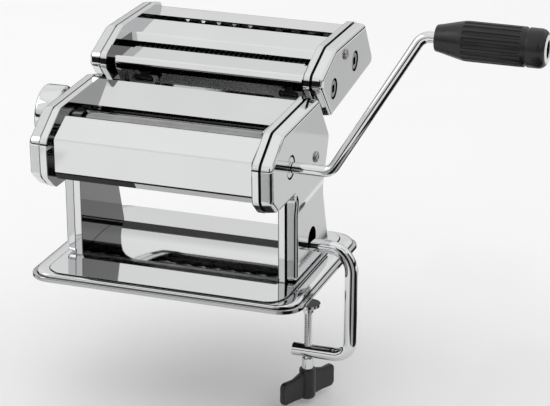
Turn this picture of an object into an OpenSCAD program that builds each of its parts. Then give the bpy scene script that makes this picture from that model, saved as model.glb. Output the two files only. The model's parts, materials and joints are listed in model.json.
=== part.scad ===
// Hand-cranked pasta machine with a lift-off double cutter head and a table clamp.
// Millimetres. +X runs along the rollers to the crank side, -Y is the front and Z is up.
// The origin is the middle of the base, on the plane of the table top.

/* [Side frames and covers] */
// Clear width between the two side frames
inner_w = 155; // [152:1:165]
// Sheet thickness of the side frames
plate_t = 1.2; // [1:0.1:1.6]
// Width of the out-turned rim round a side frame
rim_w = 5; // [4:0.5:6]
// Shadow gap between that rim and the side cover
cover_gap = 1.5; // [1:0.1:2]
// Depth of a pressed side cover
cover_depth = 8.5; // [8:0.5:11]
// Sheet thickness of the pressed covers and panels
sheet = 1; // [0.8:0.1:1.2]
// Radius of the rounded edge round a cover's face
cover_edge_r = 3; // [2:0.5:4]

/* [Base] */
// Overall width of the base
base_w = 212; // [205:1:230]
// Overall depth of the base
base_d = 160; // [154:1:180]
// Height of the base plate's top
base_h = 7.2; // [6.5:0.1:9]
// Width of the stepped rim at the two ends
base_end_rim = 13.5; // [10:0.5:16]
// Width of the stepped rim at the front and back
base_front_rim = 4; // [3:0.5:6]
// Corner radius of the base
base_corner_r = 16; // [12:1:24]
// Depth of the arched slide between the legs
slide_d = 85; // [78:1:90]
// Rise of the arched slide above the base plate
slide_rise = 6; // [4:0.5:8]

/* [Smooth rollers] */
// Diameter of the smooth rollers
roller_d = 32; // [30:0.5:33]
// Gap between the rollers' plain ends and the left side frame
roller_side_gap = 7; // [6:0.5:9]
// Front roller axis, distance in front of the base middle
roller_front = 35.5; // [34.5:0.5:36.5]
// Height of the roller axes
roller_z = 105; // [104:0.5:106]
// Thinnest sheet setting
sheet_gap = 0.3; // [0.2:0.1:0.6]
// Throw of the eccentric axle
throw = 1.4; // [1:0.1:1.6]
// Turn of the adjuster knob from thinnest to thickest
knob_turn = 135; // [90:22.5:135]
// Diameter of the roller journals
journal_d = 10; // [9:0.5:11]
// Diametral running clearance of shafts in their bushes
running = 0.1; // [0.06:0.02:0.16]

/* [Gears] */
// Width of the gear teeth along the shafts
gear_w = 6; // [5:0.5:6.5]
// Teeth on each roller gear
roller_teeth = 14; // [14:1:14]
// Teeth on the crank pinion
pinion_teeth = 8; // [8:1:8]
// Teeth on the gear that the pinion drives
wheel_teeth = 17; // [17:1:17]

/* [Crank] */
// Crank axis, distance in front of the front roller axis
crank_front = 20.5; // [20:0.5:21.5]
// Crank axis, height below the roller axes
crank_drop = 1; // [0:0.5:2]
// Diameter of the crank rod
crank_rod_d = 8; // [7:0.5:9]
// Side of the crank's square tip
crank_square = 5.6; // [5:0.1:6]
// Length of that square tip
crank_tip = 7; // [6:0.5:8]
// Reach of the first straight outside the cover
crank_reach = 29.5; // [26:0.5:40]
// Sideways run of the oblique arm
crank_slant = 58.5; // [40:0.5:70]
// Throw of the grip from the crank axis
crank_radius = 102; // [90:1:120]
// Lean of the raised crank towards the back, in degrees
crank_lean = 11.3; // [0:0.1:30]
// Radius of the crank's two bends
crank_bend_r = 10; // [8:1:14]
// Length of the grip
grip_len = 78; // [70:1:90]
// Largest diameter of the grip
grip_d = 28; // [25:0.5:30]
// Diameter of the grip's inner end
grip_neck_d = 19; // [17:0.5:21]
// Number of long flutes round the grip
grip_flutes = 18; // [12:1:20]

/* [Adjuster knob] */
// Diameter of the knob
knob_d = 44; // [38:1:48]
// Thickness of the knob's head
knob_t = 18; // [14:0.5:22]
// Stand-off of the head from the cover
knob_standoff = 11.5; // [9:0.5:14]
// Diameter of the knob's neck
knob_neck_d = 18; // [16:0.5:20]
// Pull that frees the knob from its detent
knob_pull = 4; // [3:0.5:5]

/* [Cutter head] */
// Distance between the two driven cutter rollers
cutter_pitch = 52.6; // [51:0.2:54]
// Tilt of the row of cutter rollers, in degrees
cutter_tilt = 7.5; // [6:0.5:9]
// Distance between the two rollers of a pair
pair_pitch = 20; // [20:0.5:20]
// Outside diameter of the cutter rings
cutter_d = 22; // [21.5:0.1:22.5]
// Diameter of the core between the rings
cutter_core_d = 17; // [16:0.1:17.4]
// Width of a wide noodle
wide_cut = 6.5; // [6:0.1:7]
// Width of a narrow noodle
narrow_cut = 2; // [2:0.1:2.4]
// Side clearance between meshing rings
ring_clear = 0.1; // [0.08:0.01:0.15]
// Diameter of the cutter journals
cutter_journal_d = 8; // [7:0.5:9]
// Diameter of the driven rollers' socket ends
cutter_socket_d = 12.5; // [11:0.5:13]
// Clearance between the lift-off hooks and their rails
hook_clear = 0.4; // [0.3:0.05:0.6]

/* [Clamp] */
// Diameter of the clamp rod
clamp_d = 10; // [9:0.5:10.5]
// Height of the rod where it enters the leg
clamp_z = 27; // [25:0.5:29]
// Distance of the rod in front of the base middle
clamp_front = 5; // [4:0.5:6]
// Reach of the rod beyond the side cover
clamp_reach = 31; // [26:0.5:38]
// Depth of the lower arm under the table top
clamp_depth = 58.6; // [50:0.2:70]
// Thickness of the table top that is gripped at rest
table_t = 20; // [16:0.5:24]
// Diameter of the clamp screw
clamp_screw_d = 6; // [5:0.5:7]
// Diameter of the pressing pad
clamp_pad_d = 18; // [14:1:22]
// Span of the wing handle
wing_span = 57; // [48:1:64]
// Height of the wings
wing_h = 18; // [15:0.5:20]
// Turn of the wings seen from above, in degrees
wing_angle = 66; // [0:1:90]

/* [Hidden] */
$fn = 48;
eps = 0.01;
arc_steps = 7;
edge_steps = 5;
bend_steps = 4;
bend_r = 2.4;
edge_overlap = 0.3;
thread_gap = 0.1;
rod_overlap = 0.4;
rod_step = 0.02;

// Levels along X from the middle of the machine
x_in = inner_w / 2;
x_plate = x_in + plate_t;
x_rim = x_in + rim_w;
x_cover = x_rim + cover_gap;
x_out = x_cover + cover_depth;
rim_t = 1.2;
cover_inset = 0.4;
lip_clear = 0.3;
lip_len = cover_gap + 2.5;

// Arched slide in the base plate: a strip of a wide round along X
slide_clear = 0.3;
slide_r = slide_rise / 2 + slide_d * slide_d / (8 * slide_rise);
slide_axis = [0, base_h + slide_rise - slide_r];
slide_end = x_in - slide_clear;

// Side outline of the body, [y, z, corner radius], from the front foot round by the back
body_corners = [
    [-37.5, base_h, 1], [44, base_h, 1], [24.5, 66, 35], [37, 101, 9], [9.5, 136.5, 4],
    [-72, 133.8, 8], [-98.5, 116.5, 8], [-96.8, 88.5, 8], [-83, 77, 6], [-40, 77, 8]
];
// Side outline of the cutter head, from its lower front point round by the back
cutter_corners = [
    [39.5, 111.3, 5], [148.5, 124.8, 8], [123.5, 163.4, 6], [47, 163.4, 12],
    [14.5, 150, 6], [13, 140.5, 4]
];

// Roller axes and the eccentric axle that carries the rear roller
roller_r = roller_d / 2;
front_axis = [-roller_front, roller_z];
rear_axis = front_axis + [roller_d + sheet_gap, 0];
throw_angle = 90 + knob_turn / 2;
axle_axis = rear_axis - throw * [cos(throw_angle), sin(throw_angle)];
rear_travel = 2 * throw * sin(knob_turn / 2);
journal_r = journal_d / 2;
bush_r = journal_r + 2;
bush_len = 4.5;
axle_r = journal_r + 2;
rear_bush_r = axle_r + 2;
rear_bush_len = 14;
gear_side_gap = 5;
roller_left = -x_in + roller_side_gap;
roller_right = x_in - gear_side_gap - gear_w;
gear_tip_r = roller_r + 2.4;
guide_w = roller_side_gap / 2;
guide_cover = gear_side_gap + gear_w - 1;
guide_clear = 0.6;
scraper_t = 0.6;
scraper_clear = 0.4;
scraper_w = roller_right - 1 + x_in;

// Crank pinion and the wheel on the front roller
crank_axis = front_axis - [crank_front, crank_drop];
drive_gap = norm(front_axis - crank_axis);
drive_module = 2 * drive_gap / (pinion_teeth + wheel_teeth);
drive_angle = atan2(crank_axis[1] - front_axis[1], crank_axis[0] - front_axis[0]);
x_wheel = x_plate + bush_len + 0.6;
wheel_w = 4.5;
socket_r = 7.5;
crank_hole_r = 9;
pinion_journal_r = 4;
pinion_root_r = (pinion_teeth / 2 - 1.1) * drive_module;
socket_x = x_wheel + wheel_w + 0.5;

// Crank rod, drawn in its own X-Z plane with its axis at z = 0
crank_x0 = x_out - 0.2;
crank_bend_x = x_out + crank_reach;
grip_x0 = crank_bend_x + crank_slant + crank_bend_r;
grip_end = grip_x0 + grip_len;
crank_r = crank_rod_d / 2;
grip_r = grip_d / 2;
grip_head_r = crank_r + 1.6;
grip_recess = 7;
grip_taper = 21;
grip_collar = 14;
grip_groove = 1.2;
flute_r = 1.1;

// Adjuster knob
knob_x = x_out + knob_standoff;
knob_neck_x = x_out + 2.4;
axle_square = 7;
axle_end = knob_x + knob_pull + 4;
index_r = 20;
index_t = 2;
pin_r = 1.5;
pin_orbit = 15;
pin_angle = 200;
pin_place = axle_axis + pin_orbit * [cos(pin_angle), sin(pin_angle)];
knob_steps = 6;
knob_edge = 4;
pin_seat = 5;

// Screws that hold the covers
screw_right = [1.4, 93.4];
screw_left = [-56, 104];
cap_screw = [70, 152.4];
post_r = 3.5;
screw_r = 1.5;
screw_head_r = 4.2;
screw_head_t = 2;

// Tie rods across the body
tie_r = 3;
tie_places = [[-77, 100], [22, 84], [21.3, 107]];
nut_r = 5;
nut_t = 3;

// Slope at the back of the body that the cutter head slides on
slope_top = [11, 131];
slope_angle = -53.13;
slope_len = 35;
rail_x = 58;
rail_w = 6;
rail_head_w = 14;
rail_web_h = 6;
rail_head_h = 2.5;
rail_start = 18;
rail_end = 34;
hook_wall = 2.6;
hook_top = 13.5;
hook_start = 20.8;
hook_end = rail_end - 3.5;

slope_dir = [cos(slope_angle), sin(slope_angle)];
slope_out = [-slope_dir[1], slope_dir[0]];
cutter_wall = slope_top + hook_top * slope_out;

// Sheet panels of the body
panel_gap = 4.5;
panel_gap_right = 1;
tab_in = 4;
front_fold = [[-68, 127.5], [-73.5, 129], [-95, 118], [-94.2, 92.2], [-90, 86.6]];
tab_front = -94;
tab_back = -76;
tab_z = 104;
tab_t = 1.6;
scraper_foot = [[-76, 82], [-60, 82]];
scraper_heel = [[17, 79], [24, 79]];
chute_low = [-20, 121];
guide_top = 121;
guide_front = -44;
guide_low = roller_z + 10;
guide_back = chute_low[0] - 0.3;
chute_top = slope_top - (sheet + 0.02) * slope_dir;

// Cutter roller axes: narrow pair at the front, wide pair at the back
narrow_driven = [42.6, 133.5];
row = [cos(cutter_tilt), sin(cutter_tilt)];
narrow_idle = narrow_driven + pair_pitch * row;
wide_driven = narrow_driven + cutter_pitch * row;
wide_idle = wide_driven + pair_pitch * row;
cutter_r = cutter_d / 2;
core_r = cutter_core_d / 2;
cutter_left = -x_in + 4;
cutter_right = x_in - 10.5;
cutter_len = cutter_right - cutter_left;
cutter_gear_x = cutter_right + 1;
cutter_journal_r = cutter_journal_d / 2;
cutter_socket_r = cutter_socket_d / 2;
cap_hole_r = cutter_socket_r + 1.8;
comb_clear = 0.5;
cutter_gear_teeth = 10;
cutter_module = pair_pitch / cutter_gear_teeth;
half_tooth = 180 / cutter_gear_teeth;
cutter_gear_tip_r = (cutter_gear_teeth / 2 + 0.85) * cutter_module;
cutter_ties = [[79, 147.2], [134, 134.5]];
cutter_tie_r = 2.5;
socket_seat = 3;
socket_gap = 2.2;
idle_end = x_plate + socket_seat;
driven_end = x_plate + socket_gap + socket_seat;

// Sheet panels of the cutter head
nose_rear = [48.7, 148];
nose_front = [23.5, 147];
nose_low = [21.5, 142.5];
wall_top = cutter_wall + 2 * slope_dir;
wall_low = cutter_wall + (hook_end + 0.5) * slope_dir;
nose_gap = 3.5;
nose_notch = [9.5, 3];
roof_fold = [[95, 156.8], [64, 154.6], [59.4, 149]];
rear_fold = [[141, 129], [128.7, 158.5], [106.7, 157]];

// Clamp
clamp_r = clamp_d / 2;
clamp_y = -clamp_front;
clamp_x = x_out + clamp_reach;
clamp_top_bend = 18;
clamp_low_bend = 12;
clamp_inner_end = x_in - 9;
clamp_arm_end = x_out - 13;
clamp_screw_x = x_out - 2;
clamp_screw_r = clamp_screw_d / 2;
clamp_hole_r = 9.5;
clamp_hole_shift = 2.5;
pad_t = 3;
pad_boss = 7;
tip_r = clamp_screw_r - 0.8;
tip_top = -table_t - 2;
collar_r = clamp_screw_r + 1.4;
collar_top = -clamp_depth - clamp_r - 0.4;
collar_len = 9;
hub_r = 6.3;
hub_top = collar_top - collar_len;
hub_len = 24;
hub_floor = hub_top - hub_len + 4;
root_r = clamp_screw_r - 0.5;
wing_t = 4.5;
wing_drop = 1.5;
wing_rise = 1.5;
wing_corner_r = 4;
hub_edge = 2.5;

// Outlines with rounded corners, drawn inwards by an inset
function unit(v) = v / norm(v);
function left_of(v) = [-v[1], v[0]];
function turned(v, a) = [v[0] * cos(a) - v[1] * sin(a), v[0] * sin(a) + v[1] * cos(a)];
function bound(v) = min(1, max(-1, v));
function corner_arc(before, here, after, radius, inset) =
    let (
        u = unit(here - before),
        v = unit(after - here),
        side = sign(cross(u, v)),
        corner = here + inset * (left_of(u) + left_of(v)) / (1 + left_of(u) * left_of(v)),
        r = max(radius - side * inset, 0.4),
        bend = acos(bound(u * v)),
        middle = corner - u * r * tan(bend / 2) + left_of(u) * r * side
    )
    [for (i = [0 : arc_steps]) middle - side * r * turned(left_of(u), side * bend * i / arc_steps)];
function flat(c) = [c[0], c[1]];
function outline(corners, inset = 0) =
    let (n = len(corners))
    [for (i = [0 : n - 1])
        each corner_arc(flat(corners[(i + n - 1) % n]), flat(corners[i]),
                        flat(corners[(i + 1) % n]), corners[i][2], inset)];

// A folded line with a radius at each fold
function folded(path, r) = concat(
    [path[0]],
    [for (i = [1 : len(path) - 2]) each fold_arc(path[i - 1], path[i], path[i + 1], r)],
    [path[len(path) - 1]]
);
function fold_arc(before, here, after, r) =
    let (
        u = unit(here - before),
        v = unit(after - here),
        side = sign(cross(u, v)),
        bend = acos(bound(u * v)),
        middle = here - u * r * tan(bend / 2) + left_of(u) * r * side
    )
    [for (i = [0 : bend_steps]) middle - side * r * turned(left_of(u), side * bend * i / bend_steps)];

// A bent sheet: the path's left side, moved out by the sheet thickness and closed
function path_shift(path, t) =
    [for (i = [0 : len(path) - 1])
        let (
            u = i == 0 ? unit(path[1] - path[0]) : unit(path[i] - path[i - 1]),
            v = i == len(path) - 1 ? u : unit(path[i + 1] - path[i])
        )
        path[i] + t * (left_of(u) + left_of(v)) / (1 + left_of(u) * left_of(v))];
function bent_sheet(path, t) =
    let (back = path_shift(path, t))
    concat(path, [for (i = [len(path) - 1 : -1 : 0]) back[i]]);

// Straight-sided gear outline
function gear_outline(teeth, tip_r, root_r, tip_w, root_w, phase) =
    let (foot = sqrt(root_r * root_r - root_w * root_w / 4))
    [for (i = [0 : teeth - 1])
        each [for (p = [[foot, -root_w / 2], [tip_r, -tip_w / 2], [tip_r, tip_w / 2], [foot, root_w / 2]])
            turned(p, phase + 360 * i / teeth)]];

// Extrudes a Y-Z outline along X
module along_x(x0, length) {
    translate([x0, 0, 0]) rotate([90, 0, 90]) linear_extrude(length) children();
}

// A round bar or bore along X at [y, z]
module bar_x(place, r, x0, x1) {
    translate([x0, place[0], place[1]]) rotate([0, 90, 0]) cylinder(h = x1 - x0, r = r);
}

// A solid turned about an X-wise axis at [y, z], from an outline of [radius, x]
module turned_x(place, points) {
    translate([0, place[0], place[1]]) rotate([0, 90, 0]) rotate_extrude() polygon(points);
}

// A square bar or socket along X
module square_x(place, side, x0, x1) {
    translate([x0, place[0] - side / 2, place[1] - side / 2]) cube([x1 - x0, side, side]);
}

module mirrored_if(left) {
    if (left) mirror([1, 0, 0]) children();
    else children();
}

// Side frames: a flat plate with an out-turned rim
module side_pan(corners) {
    along_x(x_in, plate_t) polygon(outline(corners));
    along_x(x_in, rim_w) difference() {
        polygon(outline(corners));
        polygon(outline(corners, rim_t));
    }
}
// Post from the plate to the inside of the cover's face, drilled for the cover's screw
module screw_post(place, x0) {
    difference() {
        bar_x(place, post_r, x0, x_out - sheet);
        bar_x(place, screw_r + thread_gap, x_plate, x_out);
    }
}

// Closed ring between an outer and an inner skin, each a list of [x, points]
module ring_skin(outer, inner) {
    n = len(outer[0][1]);
    rows = len(outer);
    sections = concat(outer, [for (i = [rows - 1 : -1 : 0]) inner[i]]);
    polyhedron(
        points = [for (s = sections) each [for (p = s[1]) [s[0], p[0], p[1]]]],
        faces = [for (i = [0 : 2 * rows - 1]) let (k = (i + 1) % (2 * rows)) each [for (j = [0 : n - 1])
            [i * n + j, k * n + j, k * n + (j + 1) % n, i * n + (j + 1) % n]]],
        convexity = 6
    );
}

// Pressed covers: thin wall with a lip that goes into the rim, rounded edge, and flat face
function edge_sections(corners, x_face, r, inset) = concat(
    [[x_face - r - edge_overlap, outline(corners, inset)]],
    [for (i = [0 : edge_steps])
        let (a = 90 * i / edge_steps)
        [x_face - r * (1 - sin(a)), outline(corners, inset + r * (1 - cos(a)))]],
    [[x_face, outline(corners, inset + r + edge_overlap)]]
);
module pressed_shell(corners) {
    lip = rim_t + lip_clear;
    x_edge = x_out - cover_edge_r;
    along_x(x_cover - lip_len, lip_len + sheet) difference() {
        polygon(outline(corners, lip));
        polygon(outline(corners, lip + sheet));
    }
    along_x(x_cover, sheet) difference() {
        polygon(outline(corners, cover_inset));
        polygon(outline(corners, lip + sheet));
    }
    along_x(x_cover, x_edge - x_cover) difference() {
        polygon(outline(corners, cover_inset));
        polygon(outline(corners, cover_inset + sheet));
    }
    ring_skin(edge_sections(corners, x_out, cover_edge_r, cover_inset),
              edge_sections(corners, x_out - sheet, cover_edge_r - sheet, cover_inset + sheet));
    along_x(x_out - sheet, sheet) polygon(outline(corners, cover_inset + cover_edge_r));
}

module side_frame_left() {
    color("gainsboro") mirrored_if(true) difference() {
        union() {
            side_pan(body_corners);
            screw_post(screw_left, x_in);
        }
        bar_x(front_axis, bush_r + thread_gap / 2, x_in - 1, x_plate + 1);
        bar_x(axle_axis, bush_r + thread_gap / 2, x_in - 1, x_plate + 1);
        for (p = tie_places) bar_x(p, tie_r + thread_gap / 2, x_in - 1, x_plate + 1);
    }
}

module side_frame_right() {
    color("gainsboro") difference() {
        union() {
            side_pan(body_corners);
            screw_post(screw_right, x_in);
        }
        bar_x(front_axis, bush_r + thread_gap / 2, x_in - 1, x_plate + 1);
        bar_x(axle_axis, bush_r + thread_gap / 2, x_in - 1, x_plate + 1);
        bar_x(crank_axis, pinion_journal_r + 2 + thread_gap / 2, x_in - 1, x_plate + 1);
        bar_x([clamp_y, clamp_z], clamp_r + running / 2, x_in - 1, x_plate + 1);
        for (p = tie_places) bar_x(p, tie_r + thread_gap / 2, x_in - 1, x_plate + 1);
    }
}

module side_cover_left() {
    color("silver") mirrored_if(true) difference() {
        pressed_shell(body_corners);
        bar_x(axle_axis, journal_r + 2, x_cover, x_out + 1);
        bar_x(screw_left, screw_r + thread_gap, x_cover, x_out + 1);
    }
}

module side_cover_right() {
    color("silver") difference() {
        pressed_shell(body_corners);
        bar_x(crank_axis, crank_hole_r, x_cover, x_out + 1);
        bar_x(screw_right, screw_r + thread_gap, x_cover, x_out + 1);
        bar_x([clamp_y + clamp_hole_shift, clamp_z + clamp_hole_shift + 1], clamp_hole_r, x_cover, x_out + 1);
    }
}

// Base: a pressed tray with a stepped rim, open underneath
function rounded_box(half_x, half_y, r) =
    outline([[-half_x, -half_y, r], [half_x, -half_y, r], [half_x, half_y, r], [-half_x, half_y, r]]);
function base_ring(part, z, inset = 0) = [
    z,
    rounded_box(base_w / 2 - base_end_rim * part - inset, base_d / 2 - base_front_rim * part - inset,
                base_corner_r - (base_corner_r - 9) * part)
];
module base_plate() {
    rim_z = base_h * 0.42;
    color("silver") difference() {
        union() {
            base_skin([[0, 0], [0, rim_z - 0.8], [0.06, rim_z], [0.3, rim_z + 0.3], [0.36, rim_z + 1.2],
                       [0.84, base_h - 1.4], [0.94, base_h - 1.4], [1, base_h]], 0);
            slide_arch(slide_r, base_h - sheet / 2, slide_end);
        }
        base_skin([[0, -1], [0, rim_z - 1.8], [0.4, rim_z - 0.4], [1, base_h - sheet - 1.2],
                   [1.02, base_h - sheet]], sheet + 0.4);
        slide_arch(slide_r - sheet, base_h - 2 * sheet, slide_end - sheet);
    }
}
// The part of the slide's round that stands above a level
module slide_arch(r, level, half_w) {
    intersection() {
        bar_x(slide_axis, r, -half_w, half_w, $fn = 8 * $fn);
        translate([-half_w, -slide_d / 2, level]) cube([2 * half_w, slide_d, 2 * slide_rise]);
    }
}
module base_skin(steps, inset) {
    stack_up([for (s = steps) base_ring(s[0], s[1], inset)]);
}
// Skin through level outlines, each [z, points]
module stack_up(sections) {
    n = len(sections[0][1]);
    last = len(sections) - 1;
    polyhedron(
        points = [for (s = sections) each [for (p = s[1]) [p[0], p[1], s[0]]]],
        faces = concat(
            [[for (j = [0 : n - 1]) j]],
            [[for (j = [n - 1 : -1 : 0]) last * n + j]],
            [for (i = [0 : last - 1]) each [for (j = [0 : n - 1])
                [i * n + j, (i + 1) * n + j, (i + 1) * n + (j + 1) % n, i * n + (j + 1) % n]]]
        ),
        convexity = 4
    );
}

// Sheet panels of the body
// Tab behind each end of the front cover that turns out to the side frame
module end_tabs() {
    x0 = x_in - panel_gap - tab_in;
    for (left = [false, true]) mirrored_if(left) {
        translate([x0, tab_front, tab_z]) cube([tab_in, tab_back - tab_front, tab_t]);
        translate([x0, tab_back - tab_in, tab_z]) cube([tab_in + panel_gap, tab_in, tab_t]);
    }
}

module front_cover() {
    color("whitesmoke") union() {
        along_x(-x_in + panel_gap, inner_w - panel_gap - panel_gap_right)
            polygon(bent_sheet(folded(front_fold, bend_r), sheet));
        end_tabs();
    }
}

module feed_chute() {
    color("whitesmoke") along_x(-x_in, inner_w)
        polygon(bent_sheet([chute_top, chute_low], sheet));
}

module at_slope() {
    translate([0, slope_top[0], slope_top[1]]) rotate([slope_angle, 0, 0]) children();
}

module back_panel() {
    color("whitesmoke") at_slope() translate([-x_in, 0, -sheet]) cube([inner_w, slope_len, sheet]);
}

// Guides at the ends of the slot: a plain cheek on the left, a cover over the gears on the right
module dough_guides() {
    color("whitesmoke") union() {
        along_x(-x_in, guide_w) polygon([[guide_front, guide_top], [guide_front, guide_low],
                                         [guide_back, guide_low], [guide_back, guide_top]]);
        gear_guide(gear_tip_r + guide_clear);
    }
}
module gear_guide(clear_r) {
    x0 = x_in - guide_cover;
    difference() {
        along_x(x0, guide_cover)
            polygon([[guide_front - 4, guide_top + 3.5], [guide_front - 4, guide_low + 2],
                     [guide_back - 1.2, guide_low], [guide_back, guide_low], [guide_back, guide_top + 1],
                     [guide_back - 3.7, guide_top + 3.5]]);
        bar_x(front_axis, clear_r, x0 - 1, x_in + 1);
        bar_x(rear_axis, clear_r, x0 - 1, x_in + 1);
        bar_x(rear_axis + [rear_travel, 0], clear_r, x0 - 1, x_in + 1);
        bar_x(rear_axis + [rear_travel / 2, throw], clear_r, x0 - 1, x_in + 1);
    }
}

module scraper_front() {
    edge = front_axis + (roller_r + scraper_clear) * [-cos(45), -sin(45)];
    color("lightgray") along_x(-x_in, scraper_w) polygon(bent_sheet(concat(scraper_foot, [edge]), scraper_t));
}
module scraper_rear() {
    edge = rear_axis + [rear_travel, 0] + (roller_r + 2 * scraper_clear) * [cos(45), -sin(45)];
    color("lightgray") along_x(-x_in, scraper_w) polygon(bent_sheet(concat([edge], scraper_heel), scraper_t));
}

module tie_rods() {
    color("lightgray") for (p = tie_places) bar_x(p, tie_r, -x_plate - nut_t - 1, x_plate + nut_t + 1);
}

module frame_nuts() {
    color("lightgray") for (p = tie_places) for (left = [false, true]) mirrored_if(left) difference() {
        translate([x_plate, p[0], p[1]]) rotate([0, 90, 0]) cylinder(h = nut_t, r = nut_r, $fn = 6);
        bar_x(p, tie_r + thread_gap / 2, x_plate - 1, x_plate + nut_t + 1);
    }
}

module cover_screw(place, shank) {
    turned_x(place, [[0, x_out - shank], [screw_r, x_out - shank], [screw_r, x_out], [screw_head_r, x_out],
                     [screw_head_r, x_out + screw_head_t / 2], [screw_head_r / 2, x_out + screw_head_t],
                     [0, x_out + screw_head_t]]);
}
module cover_screws() {
    color("lightgray") union() {
        cover_screw(screw_right, 8);
        mirrored_if(true) cover_screw(screw_left, 8);
    }
}

// Plain flanged bush in a side frame
module flanged_bush(place, bore_r, outer_r) {
    turned_x(place, [[bore_r, x_in], [outer_r, x_in], [outer_r, x_plate], [outer_r + 1, x_plate],
                     [outer_r + 1, x_plate + 1.5], [outer_r, x_plate + 1.5], [outer_r, x_plate + bush_len],
                     [bore_r, x_plate + bush_len]]);
}
module shaft_bushes() {
    color("goldenrod") union() {
        for (left = [false, true]) mirrored_if(left) {
            flanged_bush(front_axis, journal_r + running / 2, bush_r);
            flanged_bush(axle_axis, journal_r + running / 2, bush_r);
        }
        flanged_bush(crank_axis, pinion_journal_r + running / 2, pinion_journal_r + 2);
    }
}

// Ring on the left cover with the arc slot that limits the knob's pin and a notch for each setting
module index_plate() {
    slot_r = pin_r + 0.3;
    color("silver") mirrored_if(true) difference() {
        turned_x(axle_axis, [[journal_r + 2, x_out], [index_r, x_out], [index_r, x_out + index_t / 2],
                             [index_r - 1, x_out + index_t], [journal_r + 2, x_out + index_t]]);
        translate([x_out - 1, axle_axis[0], axle_axis[1]]) rotate([90, 0, 90])
            rotate([0, 0, pin_angle - knob_turn]) rotate_extrude(angle = knob_turn)
                translate([pin_orbit - slot_r, 0]) square([2 * slot_r, index_t + 2]);
        for (i = [0 : knob_steps]) {
            a = pin_angle - knob_turn * i / knob_steps;
            bar_x(axle_axis + pin_orbit * [cos(a), sin(a)], slot_r + 0.6, x_out - 1, x_out + index_t + 1);
        }
    }
}

module cutter_rail() {
    at_slope() {
        translate([-rail_w / 2, rail_start, 0]) cube([rail_w, rail_end - rail_start, rail_web_h + eps]);
        translate([-rail_head_w / 2, rail_start, rail_web_h])
            cube([rail_head_w, rail_end - rail_start, rail_head_h]);
        translate([-rail_head_w / 2, hook_end + hook_clear, 0])
            cube([rail_head_w, rail_end - hook_end - hook_clear, rail_web_h + rail_head_h]);
    }
}
module cutter_rails() {
    color("silver") for (s = [-1, 1]) translate([s * rail_x, 0, 0]) cutter_rail();
}

// Crank drive
module pinion_outline(phase) {
    polygon(gear_outline(pinion_teeth, (pinion_teeth / 2 + 0.8) * drive_module,
                         pinion_root_r, 0.9, 2.3, phase));
}
module drive_pinion() {
    color("dimgray") difference() {
        union() {
            bar_x(crank_axis, pinion_journal_r, x_in - 0.5, x_wheel + eps);
            translate([0, crank_axis[0], crank_axis[1]])
                along_x(x_wheel, wheel_w) pinion_outline(drive_angle + 180 + 180 / pinion_teeth);
            bar_x(crank_axis, pinion_root_r - 0.05, x_wheel + wheel_w - eps, socket_x + eps);
            bar_x(crank_axis, socket_r, socket_x, x_out - 0.4);
        }
        crank_place() square_x([0, 0], crank_square + 0.3, crank_x0 - crank_tip - 0.3, x_out);
    }
}

module crank_place() {
    translate([0, crank_axis[0], crank_axis[1]]) rotate([-crank_lean, 0, 0]) children();
}

// A bend of a rod in the X-Z plane: from the heading a0 turning by sweep degrees
module rod_bend(start, a0, sweep, bend_r, r) {
    s = sign(sweep);
    translate([start[0], 0, start[1]]) rotate([90, 0, 0]) rotate([0, 0, a0])
        translate([0, s * bend_r, 0]) rotate([0, 0, s > 0 ? -90 : 90 + sweep])
            rotate_extrude(angle = abs(sweep)) translate([bend_r, 0]) circle(r);
}
// A straight of a rod: it ends inside its neighbours and is a hair thinner than they are
module rod_straight(a, b, r) {
    d = b - a;
    translate([a[0], 0, a[1]]) rotate([0, 90 - atan2(d[1], d[0]), 0])
        translate([0, 0, -rod_overlap]) cylinder(h = norm(d) + 2 * rod_overlap, r = r - rod_step);
}

module crank_rod() {
    low = [crank_bend_x, 0];
    high = [crank_bend_x + crank_slant, crank_radius];
    arm = unit(high - low);
    rise = atan2(arm[1], arm[0]);
    cut = crank_bend_r * tan(rise / 2);
    head_x = grip_end - grip_recess + rod_overlap;
    color("silver") crank_place() union() {
        translate([crank_x0 - crank_tip, -crank_square / 2, -crank_square / 2])
            cube([crank_tip + 2, crank_square, crank_square]);
        rod_straight([crank_x0 + 0.4, 0], low - [cut, 0], crank_r);
        rod_bend(low - [cut, 0], 0, rise, crank_bend_r, crank_r);
        rod_straight(low + cut * arm, high - cut * arm, crank_r);
        rod_bend(high - cut * arm, rise, -rise, crank_bend_r, crank_r);
        rod_straight(high + [cut, 0], [head_x, crank_radius], crank_r);
        rod_straight([head_x, crank_radius], [head_x + 2, crank_radius], grip_head_r);
    }
}

module crank_grip() {
    bore_r = crank_r + running / 2;
    recess_x = grip_end - grip_recess - 0.3;
    full_x = grip_x0 + grip_taper;
    groove_x = grip_end - grip_collar;
    color("black") crank_place() translate([0, 0, crank_radius]) difference() {
        turned_x([0, 0], [
            [bore_r, grip_x0], [grip_neck_d / 2 - 1, grip_x0], [grip_neck_d / 2, grip_x0 + 1.2],
            [grip_r - 1, full_x - 5], [grip_r, full_x], [grip_r, groove_x - 1],
            [grip_r - grip_groove, groove_x], [grip_r - grip_groove, groove_x + 1.4],
            [grip_r - 0.2, groove_x + 2],
            [grip_r - 0.2, grip_end - 4], [grip_r - 3.5, grip_end], [grip_head_r + 1, grip_end],
            [grip_head_r + 1, recess_x], [bore_r, recess_x]
        ]);
        for (i = [0 : grip_flutes - 1])
            bar_x(grip_r * [cos(360 * i / grip_flutes), sin(360 * i / grip_flutes)], flute_r,
                  full_x - 2, groove_x - 2.5);
    }
}

module grip_ring() {
    color("white") crank_place() translate([0, 0, crank_radius])
        turned_x([0, 0], [[grip_head_r + 1, grip_end], [grip_r - 4, grip_end],
                          [grip_r - 4.6, grip_end + 0.8], [grip_head_r + 1.4, grip_end + 0.8]]);
}

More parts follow.
